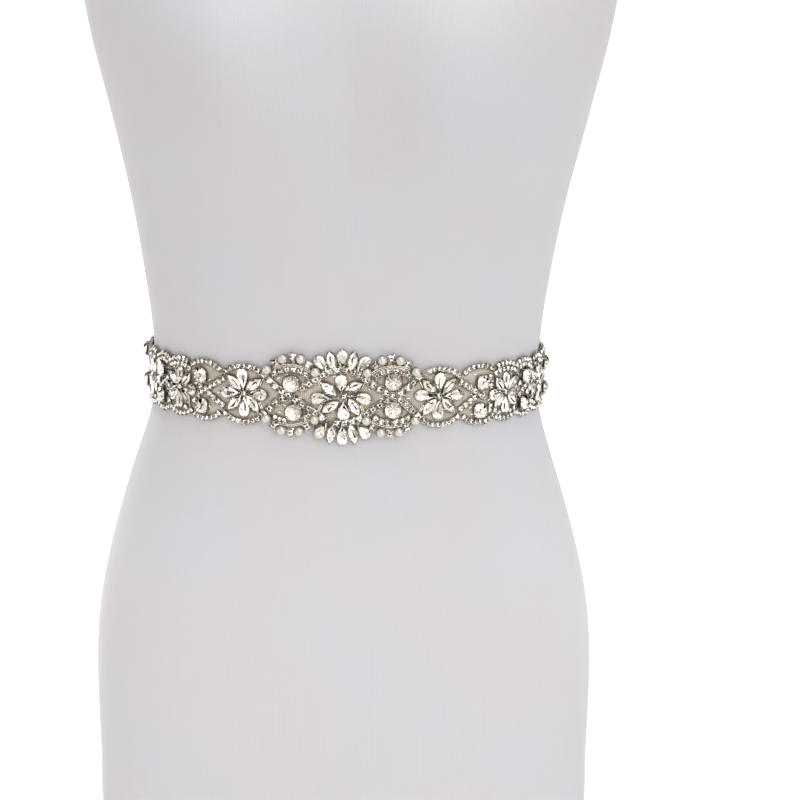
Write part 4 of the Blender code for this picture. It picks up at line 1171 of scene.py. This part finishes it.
# ------------------------------------------------------------------------- cloth shells
def cloth_shell(name, grid, fold_shades):
    """Thicken a grid of middle points into a thin closed shell of satin; its length too.

    Fold shades, one for each point, say how much painted shade darkens the cloth there, from 0 to
    1; it is most down in folds and creases.
    """
    rows, columns = len(grid), len(grid[0])
    front, rear = [], []
    for i in range(rows):
        for j in range(columns):
            along = grid[min(i + 1, rows - 1)][j] - grid[max(i - 1, 0)][j]
            across = grid[i][min(j + 1, columns - 1)] - grid[i][max(j - 1, 0)]
            normal = along.cross(across).normalized()
            front.append(grid[i][j] + normal * SATIN_THICKNESS / 2.0)
            rear.append(grid[i][j] - normal * SATIN_THICKNESS / 2.0)
    middle = columns // 2
    lengths = [0.0]
    for i in range(1, rows):
        lengths.append(lengths[-1] + (grid[i][middle] - grid[i - 1][middle]).length)
    uvs = [(RIBBON_WIDTH * j / (columns - 1), lengths[i])
           for i in range(rows) for j in range(columns)] * 2
    shift = rows * columns
    faces = []
    for i in range(rows - 1):
        for j in range(columns - 1):
            a = i * columns + j
            b = a + columns
            faces.append((a, a + 1, b + 1, b))
            faces.append((a + shift, b + shift, b + 1 + shift, a + 1 + shift))
    border = list(range(columns))
    border += [i * columns + columns - 1 for i in range(1, rows)]
    border += [(rows - 1) * columns + j for j in range(columns - 2, -1, -1)]
    border += [i * columns for i in range(rows - 2, 0, -1)]
    for k, a in enumerate(border):
        b = border[(k + 1) % len(border)]
        faces.append((b, a, a + shift, b + shift))
    flat = [depth for row in fold_shades for depth in row]
    piece = make_piece(name, front + rear, faces, [SATIN], 50.0, None, uvs,
                       ("depth", flat * 2))
    return piece, lengths[-1] * MM


# ------------------------------------------------------------------------------- the form
def build_form_cover():
    """The padded torso in its jersey cover, closed at the neck and under the base."""
    angles = [angle_at(WAIST_GIRTH * k / FORM_COLUMNS) for k in range(FORM_COLUMNS + 1)]
    top = FORM_SECTIONS[-1][0]
    heights = [top * k / FORM_ROWS for k in range(FORM_ROWS + 1)]
    heights = sorted(set(heights + [FORM_SECTIONS[1][0], FORM_SECTIONS[-2][0]]))
    points, uvs = [], []
    for z in heights:
        for k, angle in enumerate(angles[:-1]):
            points.append(section_point(z, angle))
            uvs.append((WAIST_GIRTH * k / FORM_COLUMNS, z))
    faces = ring_faces(FORM_COLUMNS, len(heights))
    cover = make_piece("jersey_cover", points, faces, [JERSEY], 50.0, None, uvs)
    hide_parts("dress_form")
    return cover


# --------------------------------------------------------------------------- the ribbon
BAND_SECTIONS = [
    # from_knot, lift, half_width, height: the band's run into the knot, mirrored
    (7.2, 3.4, 3.8, 2.2),
    (13.0, 4.8, 5.8, 1.7),
    (20.0, 5.9, 8.2, 1.2),
    (32.0, 6.6, 10.9, 0.95),
    (48.0, 7.2, 12.3, 0.85),
    (66.0, 7.0, FLAT, 0.85),
]
BAND_PLEATS, BAND_PLEAT_RISE, BAND_PLEAT_REACH = 3.0, 0.75, 16.0
BAND_TUCK, LOOP_TUCK = 2.2, 2.4     # how far band and loops run on inside the knot
BAND_RUN_STEPS, BAND_MIDDLE_STEPS = 56, 220
LOOPS = {
    # reach, lift, half_width, front_height, back_height: from the knot to the fold
    "bow_loop_left": [
        (7.2, 1.5, 4.4, 8.6, 5.4),
        (14.0, 1.0, 8.0, 10.2, 5.0),
        (23.0, -1.8, 9.6, 12.2, 4.4),
        (34.0, -5.6, 10.8, 13.6, 4.2),
        (48.0, -9.4, 11.8, 13.2, 4.6),
        (61.0, -11.9, 12.2, 10.8, 5.6),
        (69.5, -12.9, 12.2, 8.9, 6.6),
    ],
    "bow_loop_right": [
        (7.2, 2.6, 3.4, 8.6, 5.4),
        (13.0, 3.4, 5.4, 10.0, 5.2),
        (21.0, 1.6, 8.4, 12.0, 4.8),
        (31.0, -3.4, 11.2, 13.4, 4.4),
        (42.0, -8.4, 12.0, 13.8, 4.4),
        (56.0, -13.2, 12.3, 12.0, 5.2),
        (71.0, -17.0, 12.2, 9.0, 6.8),
    ],
}
LOOP_SIDE = {"bow_loop_left": -1.0, "bow_loop_right": 1.0}
LOOP_END_SLANT = {"bow_loop_left": 1.8, "bow_loop_right": 3.0}
LOOP_PLEATS, LOOP_PLEAT_RISE, LOOP_PLEAT_REACH = 2.5, 0.7, 15.0
LOOP_STEPS, FOLD_STEPS = 60, 9      # along each layer of a loop, and round its fold
TAILS = {
    # drop, across, half_width, height, turn_degrees, fold
    "ribbon_tail_left": [
        (7.2, -3.6, 2.3, 4.4, 0.0, 0.8),
        (9.8, -4.6, 2.6, 4.8, 10.0, 1.4),
        (14.6, -7.4, 3.9, 6.4, 26.0, 1.8),
        (22.0, -9.6, 5.9, 7.2, 48.0, 1.4),
        (32.0, -10.4, 8.6, 7.6, 46.0, 0.8),
        (46.0, -11.2, 10.8, 7.4, 34.0, 0.5),
        (66.0, -11.6, 12.0, 6.2, 24.0, 0.3),
        (100.0, -13.4, 12.4, 4.4, 13.0, 0.4),
        (140.0, -17.0, FLAT, 3.2, 5.0, 0.8),
        (180.0, -21.5, FLAT, 3.0, -5.0, 0.6),
        (220.0, -25.0, FLAT, 3.8, -10.0, 0.4),
        (252.0, -27.5, FLAT, 4.4, -12.0, 0.3),
    ],
    "ribbon_tail_right": [
        (3.6, 8.0, 2.2, 3.0, 0.0, 0.5),
        (4.6, 13.0, 2.6, 3.2, -20.0, 0.9),
        (8.4, 17.6, 3.4, 4.6, -48.0, 1.2),
        (15.0, 19.8, 5.0, 6.6, -66.0, 1.2),
        (24.0, 20.2, 7.4, 8.4, -62.0, 0.9),
        (36.0, 19.8, 9.8, 8.8, -50.0, 0.7),
        (52.0, 19.4, 11.4, 7.8, -38.0, 0.5),
        (80.0, 20.0, 12.3, 6.0, -24.0, 0.4),
        (120.0, 22.6, FLAT, 4.4, -12.0, 0.6),
        (165.0, 26.4, FLAT, 3.2, -3.0, 0.8),
        (205.0, 30.0, FLAT, 3.2, 6.0, 0.5),
        (244.0, 32.4, FLAT, 4.0, 10.0, 0.3),
    ],
}
TAIL_END_SLANT = {"ribbon_tail_left": 7.0, "ribbon_tail_right": -7.0}
KNOT_HALF_WIDTH, KNOT_HALF_HEIGHT = 6.8, 8.2
KNOT_BASE, KNOT_TOP = 0.6, 10.6
SATIN_THICKNESS = 0.55
ACROSS = 20                 # facets across a ribbon
KNOT_ACROSS, KNOT_AROUND = 36, 72

# Creases pressed or dragged into a ribbon: place along it and across it in mm, direction
# in degrees from its length, half length and half width, and how far it stands out.
BAND_CREASES = [
    (18.0, 2.0, 12.0, 14.0, 1.1, 0.45), (24.0, -3.5, -9.0, 16.0, 1.3, -0.35),
    (39.0, 4.0, 7.0, 15.0, 1.5, 0.30), (47.0, -6.0, -14.0, 9.0, 1.0, 0.22),
]
LOOP_CREASES = {
    "bow_loop_left": [
        (12.0, 2.5, -7.0, 12.0, 0.9, 0.8), (15.0, -2.8, 9.0, 12.0, 1.0, -0.7),
        (24.0, 5.5, -12.0, 13.0, 1.3, 0.6), (27.0, -5.0, 12.0, 10.0, 1.1, 0.4),
        (41.0, 1.0, -22.0, 10.0, 1.8, -0.35), (53.0, -4.0, 34.0, 8.0, 1.6, 0.25),
    ],
    "bow_loop_right": [
        (11.0, 1.5, 8.0, 12.0, 0.8, 0.8), (16.0, -3.0, -10.0, 13.0, 1.0, -0.8),
        (27.0, 3.5, -16.0, 14.0, 1.2, 0.6), (30.0, -6.5, -24.0, 11.0, 1.2, 0.5),
        (45.0, 6.0, 10.0, 12.0, 1.6, -0.4), (58.0, -2.0, 28.0, 9.0, 1.7, 0.3),
    ],
}


def crease_rise(creases, along, across):
    """How far the creases lift the cloth at a place along and across the ribbon."""
    rise = 0.0
    for at, side, degrees, half_length, half_width, height in creases:
        c, d = math.cos(math.radians(degrees)), math.sin(math.radians(degrees))
        p = (along - at) * c + (across - side) * d
        q = (across - side) * c - (along - at) * d
        rise += height * math.exp(-(p / half_length) ** 2 - (q / half_width) ** 2)
    return rise


def build_waist_ribbon():
    """The stretch of ribbon round the waist, gathered into the knot at both ends."""
    knot_side, run_end = BAND_SECTIONS[0][0], BAND_SECTIONS[-1][0]
    start = knot_side - BAND_TUCK
    run = [start + (run_end - start) * (k / BAND_RUN_STEPS) ** 1.1
           for k in range(BAND_RUN_STEPS + 1)]
    span = WAIST_GIRTH - 2.0 * run_end
    middle = [run_end + span * k / BAND_MIDDLE_STEPS for k in range(1, BAND_MIDDLE_STEPS)]
    stations = run + middle + [WAIST_GIRTH - place for place in reversed(run)]
    grid, fold_shades = [], []
    for station in stations:
        from_knot = min(station, WAIST_GIRTH - station)
        lift, half_width, height = smooth_between(BAND_SECTIONS, from_knot)
        settle = min(max((from_knot - run_end) / run_end, 0.0), 1.0)
        lift = lift + (KNOT_DROP - lift) * settle
        pleat = BAND_PLEAT_RISE * math.exp(-(from_knot - knot_side) / BAND_PLEAT_REACH)
        skew, flip = (0.35, -1.0) if station > BACK_CENTRE else (-0.25, 1.0)
        row, tones = [], []
        for j in range(ACROSS + 1):
            u = 2.0 * j / ACROSS - 1.0
            rise = pleat * (1.0 + math.cos(math.pi * BAND_PLEATS * (u + skew * (1.0 - u * u))))
            rise += crease_rise(BAND_CREASES, from_knot, u * half_width * flip)
            waver = 0.10 * math.sin(station * 0.045 + 1.3 * u) * (1.0 - pleat)
            v = -KNOT_DROP + lift + half_width * u
            row.append(skin(BACK_CENTRE + station, v, height + rise + waver + 0.05))
            # Painted shade: near the knot the pleats' valleys are painted darker.
            tones.append(min(1.0, max(0.0, 0.25 - 0.5 * (rise - pleat))) if pleat > 0.02 else 0.2)
        grid.append(row)
        fold_shades.append(tones)
    band, length = cloth_shell("waist_ribbon", grid, fold_shades)
    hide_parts("ribbon_waist_band")
    return band


def build_loop(name):
    """One bow loop: out along its front layer, round the fold and back behind it."""
    rows = LOOPS[name]
    side = LOOP_SIDE[name]
    knot_side, end = rows[0][0], rows[-1][0]
    start = knot_side - LOOP_TUCK
    reaches = [start + (end - start) * k / LOOP_STEPS for k in range(LOOP_STEPS + 1)]
    front_end, back_end = rows[-1][3:]
    radius = (front_end - back_end) / 2.0
    # Reach, layer (front 1, fold 0, back -1) and how far the fold has turned.
    path = [(reach, 1.0, None) for reach in reaches]
    path += [(end, 0.0, math.radians(180.0 * k / FOLD_STEPS)) for k in range(1, FOLD_STEPS)]
    path += [(reach, -1.0, None) for reach in reversed(reaches)]
    grid, fold_shades = [], []
    for reach, layer, turn in path:
        lift, half_width, front_height, back_height = smooth_between(rows, reach)
        height = front_height if layer >= 0.0 else back_height
        out = 0.0
        if turn is not None:
            height = back_end + radius * (1.0 + math.cos(turn))
            out = 1.6 * radius * math.sin(turn)
        past_knot = max(0.0, reach - knot_side)
        share = past_knot / (end - knot_side)
        pleat = LOOP_PLEAT_RISE * math.exp(-past_knot / LOOP_PLEAT_REACH) * layer
        slant = LOOP_END_SLANT[name] * share ** 3
        # The back layer shows a little above the front one on the right loop.
        behind = 1.3 * ease(2.2 * share) * (1.0 - share ** 6) if layer < 0.0 and side > 0.0 else 0.0
        row, tones = [], []
        for j in range(ACROSS + 1):
            u = 2.0 * j / ACROSS - 1.0
            rise = pleat * math.cos(math.pi * LOOP_PLEATS * (u + 0.2 * (1.0 - u * u)))
            fold = crease_rise(LOOP_CREASES[name], reach, half_width * u)
            curl = -0.5 * (u * u) * ease(3.0 * share) * ease(4.0 * (1.0 - share))
            s = BACK_CENTRE + side * (reach + out + slant * u)
            v = -KNOT_DROP + lift + half_width * u + behind
            row.append(skin(s, v, height + rise + (fold + curl) * (1.0 if layer > 0 else 0.4)))
            # Painted shade: darker near the knot in the pleats' valleys, round the fold and on the
            # back layer; a crease's ridge is painted lighter, its hollow darker.
            fold_shade = 0.9 * math.exp(-past_knot / 7.0) * (0.5 - 0.5 * rise / LOOP_PLEAT_RISE)
            if turn is not None:
                fold_shade = 0.35
            if layer < 0.0:
                fold_shade = max(fold_shade, 0.45)
            tones.append(min(1.0, max(0.0, 0.12 + fold_shade - 0.3 * fold)))
        grid.append(row)
        fold_shades.append(tones)
    piece, length = cloth_shell(name.replace("bow_", "") + "_ribbon", grid, fold_shades)
    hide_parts(name)
    return piece


def build_tail(name):
    """One hanging ribbon end, folded and turned near the knot and cut on a slant."""
    rows = TAILS[name]
    drops = [row[0] for row in rows]
    stations = []
    for above, below in zip(drops, drops[1:]):
        steps = 8 if below - above < 20.0 else 12
        stations += [above + (below - above) * k / steps for k in range(steps)]
    stations.append(drops[-1])
    grid, fold_shades = [], []
    for drop in stations:
        across, half_width, height, turn, fold = smooth_between(rows, drop)
        below = smooth_between(rows, drop + 0.5)[0]
        above = smooth_between(rows, drop - 0.5)[0]
        heading = math.atan2(below - above, 1.0)
        turn = math.radians(turn)
        ending = max(0.0, (drop - drops[-2]) / (drops[-1] - drops[-2]))
        row, tones = [], []
        for j in range(ACROSS + 1):
            u = 2.0 * j / ACROSS - 1.0
            sideways = half_width * u * math.cos(turn)
            s = BACK_CENTRE + across + sideways * math.cos(heading)
            h = height + half_width * u * math.sin(turn) + fold * (1.0 - u * u)
            v = -KNOT_DROP - drop + sideways * math.sin(heading)
            v -= TAIL_END_SLANT[name] * u * ending
            row.append(skin(s, v, h))
            # Painted shade: darker near the knot, most towards the tail's edges, where it folds and
            # turns.
            near = math.exp(-(drop - drops[0]) / 14.0)
            tones.append(min(1.0, 0.15 + 0.7 * near * (0.5 - 0.5 * math.cos(math.pi * u))))
        grid.append(row)
        fold_shades.append(tones)
    piece, length = cloth_shell(name.replace("ribbon_", "") + "_ribbon", grid, fold_shades)
    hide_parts(name)
    return piece


def build_knot():
    """The knot: ribbon wrapped once round the gathered middle, drawn up in creases."""
    middle = (KNOT_BASE + KNOT_TOP) / 2.0
    half_depth = (KNOT_TOP - KNOT_BASE) / 2.0
    grid, fold_shades = [], []
    for k in range(KNOT_AROUND + 1):
        turn = math.radians(-172.0 + 344.0 * k / KNOT_AROUND)
        row, tones = [], []
        for j in range(KNOT_ACROSS + 1):
            # Past the sides the ribbon turns in under itself.
            w = 3.2 * j / KNOT_ACROSS - 1.6
            tuck = max(abs(w) - 1.0, 0.0)
            u = math.copysign(min(abs(w), 1.0) - 0.9 * max(tuck - 0.12, 0.0), w)
            under = 1.5 * ease(tuck / 0.22)
            fullness = 0.80 + 0.20 * math.cos(0.5 * math.pi * u) ** 0.8
            up = signed_power(math.sin(turn), 0.75)
            out = signed_power(math.cos(turn), 0.75)
            facing = max(out, 0.0)
            crease = math.exp(-((u - 0.15 - 0.75 * up) / 0.17) ** 2)
            second = math.exp(-((u + 0.55 - 0.35 * up) / 0.12) ** 2)
            depth = (half_depth * fullness - under) * out
            depth -= (1.0 * crease + 0.7 * second) * facing * (1.0 if tuck == 0.0 else 0.3)
            peak = 1.2 * math.exp(-((u - 0.25) / 0.4) ** 2) * max(up, 0.0) ** 3
            tall = (KNOT_HALF_HEIGHT * fullness - under) * up + peak
            s = BACK_CENTRE + KNOT_HALF_WIDTH * u * (1.0 - 0.12 * abs(up))
            row.append(skin(s, -KNOT_DROP + tall, middle + depth))
            # Painted shade: darker in the creases that face out, at the knot's edges and where it
            # tucks under itself.
            tones.append(min(1.0, 0.3 + 0.5 * crease * facing + 0.5 * second * facing
                             + 0.4 * abs(u) ** 6 + 0.5 * ease(tuck / 0.2)))
        grid.append(row)
        fold_shades.append(tones)
    knot, length = cloth_shell("knot_ribbon", grid, fold_shades)
    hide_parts("bow_knot")
    return knot


# --------------------------------------------------------------------------- the studio
FLOOR_RADIUS = 16.0         # metres, as all the studio's sizes
FLOOR_SIDES = 64
FLOOR_GAP = 0.0004          # the floor lies this much under the form's base
SURROUND_STRENGTH = 0.74
BEHIND_FORM = (0.0, 2.8, 0.0)
FORM_MIDDLE = (0.0, 0.0, 0.32)
SOFTBOXES = [
    # name, place, aim, size, watts, colour, spread_degrees
    ("key_softbox", (1.3, -1.9, 1.0), FORM_MIDDLE, (1.8, 1.8), 12.5, "#FFFFFF", 180.0),
    ("fill_softbox", (-2.1, -0.9, 0.6), FORM_MIDDLE, (1.8, 1.8), 11.0, "#FFF1ED", 180.0),
    ("back_softbox", (-1.1, 1.9, 1.3), FORM_MIDDLE, (0.9, 0.7), 18.0, "#FCFDFF", 180.0),
    ("floor_softbox", (0.0, 2.8, 2.6), BEHIND_FORM, (7.0, 7.0), 140.0, "#FFFFFF", 40.0),
]
OVERHEAD_STRENGTH, OVERHEAD_WIDTH, OVERHEAD_HEADING = 1.5, 85.0, (-0.32, 0.95, -0.80)
CAMERA_DISTANCE, CAMERA_ELEVATION, CAMERA_ROLL = 2.0, 12.0, 0.3
CAMERA_AIM = (0.0315, -0.090, 0.291)
VIEW_WIDTH = 0.480          # what the camera sees across at its aim
SENSOR_WIDTH = 36.0         # millimetres


def build_floor():
    """A plain pale floor, far wider than the view."""
    turns = [2 * math.pi * k / FLOOR_SIDES for k in range(FLOOR_SIDES)]
    rim = [(FLOOR_RADIUS * math.cos(turn), FLOOR_RADIUS * math.sin(turn), -FLOOR_GAP)
           for turn in turns]
    mesh = bpy.data.meshes.new("studio_floor")
    mesh.from_pydata(rim, [], [tuple(range(len(rim)))])
    mesh.materials.append(painted_floor())
    floor = bpy.data.objects.new("studio_floor", mesh)
    bpy.context.scene.collection.objects.link(floor)


def build_surround():
    """A pale wall up to eye level; above it banks of light with dark gaps between."""
    world = bpy.data.worlds.new("studio_surround")
    world.use_nodes = True
    tree = world.node_tree
    background = tree.nodes["Background"]
    place = add_node(tree, "ShaderNodeTexCoord", {}, {}).outputs["Generated"]
    split = add_node(tree, "ShaderNodeSeparateXYZ", {}, {"Vector": place})
    banks = add_node(tree, "ShaderNodeTexVoronoi", {}, {"Vector": place, "Scale": 2.6})
    grey = add_node(tree, "ShaderNodeSeparateColor", {}, {"Color": banks.outputs["Color"]})
    panels = add_node(tree, "ShaderNodeValToRGB",
                      {"stops": [(0.0, "#141416"), (0.33, "#242426"), (0.42, "#8A8A8C"),
                                 (0.52, "#FFFFFF")]},
                      {"Fac": grey.outputs["Red"]}).outputs["Color"]
    height = add_node(tree, "ShaderNodeMapRange", {},
                      {"Value": split.outputs["Z"], "From Min": 0.10, "From Max": 0.22})
    tone = add_node(tree, "ShaderNodeMix", {"data_type": "RGBA"},
                    {"Factor": height.outputs["Result"], "A": linear("#C2C2C4"), "B": panels})
    tree.links.new(tone.outputs["Result"], background.inputs["Color"])
    background.inputs["Strength"].default_value = SURROUND_STRENGTH
    bpy.context.scene.world = world


def add_lamp(name, data, place, heading):
    """Hang a lamp at a place, shining along a heading."""
    lamp = bpy.data.objects.new(name, data)
    lamp.location = place
    lamp.rotation_euler = heading.to_track_quat("-Z", "Y").to_euler()
    bpy.context.scene.collection.objects.link(lamp)


def build_lights():
    """Softboxes round the form and over the floor behind it, and a broad overhead bank."""
    for name, place, aim, size, watts, colour, spread in SOFTBOXES:
        data = bpy.data.lights.new(name, "AREA")
        data.shape = "RECTANGLE"
        data.size, data.size_y = size
        data.energy = watts
        data.spread = math.radians(spread)
        data.color = linear(colour)[:3]
        add_lamp(name, data, place, Vector(aim) - Vector(place))
    data = bpy.data.lights.new("overhead_bank", "SUN")
    data.energy = OVERHEAD_STRENGTH
    data.angle = math.radians(OVERHEAD_WIDTH)
    add_lamp("overhead_bank", data, (0.0, 0.0, 0.0), Vector(OVERHEAD_HEADING))


def build_camera():
    """The camera in front of the waist, looking a little down on it."""
    data = bpy.data.cameras.new("camera")
    data.sensor_width = SENSOR_WIDTH
    data.lens = SENSOR_WIDTH * CAMERA_DISTANCE / VIEW_WIDTH
    data.clip_end = 100.0
    camera = bpy.data.objects.new("camera", data)
    tilt = math.radians(CAMERA_ELEVATION)
    back_off = Vector((0.0, -math.cos(tilt), math.sin(tilt))) * CAMERA_DISTANCE
    camera.location = Vector(CAMERA_AIM) + back_off
    camera.rotation_euler = (Matrix.Rotation(math.radians(90.0 - CAMERA_ELEVATION), 3, "X")
                             @ Matrix.Rotation(math.radians(CAMERA_ROLL), 3, "Z")).to_euler()
    bpy.context.scene.collection.objects.link(camera)
    bpy.context.scene.camera = camera
    bpy.context.scene.view_settings.view_transform = "Standard"


# ------------------------------------------------------------------------------- build
build_floor()
build_surround()
build_lights()
build_camera()
build_form_cover()
build_waist_ribbon()
build_knot()
for loop_name in LOOPS:
    build_loop(loop_name)
for tail_name in TAILS:
    build_tail(tail_name)
sewn_things, bead_pieces = build_beadwork()
net, net_size, net_area = build_net(sewn_things)
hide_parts("rhinestone_applique")
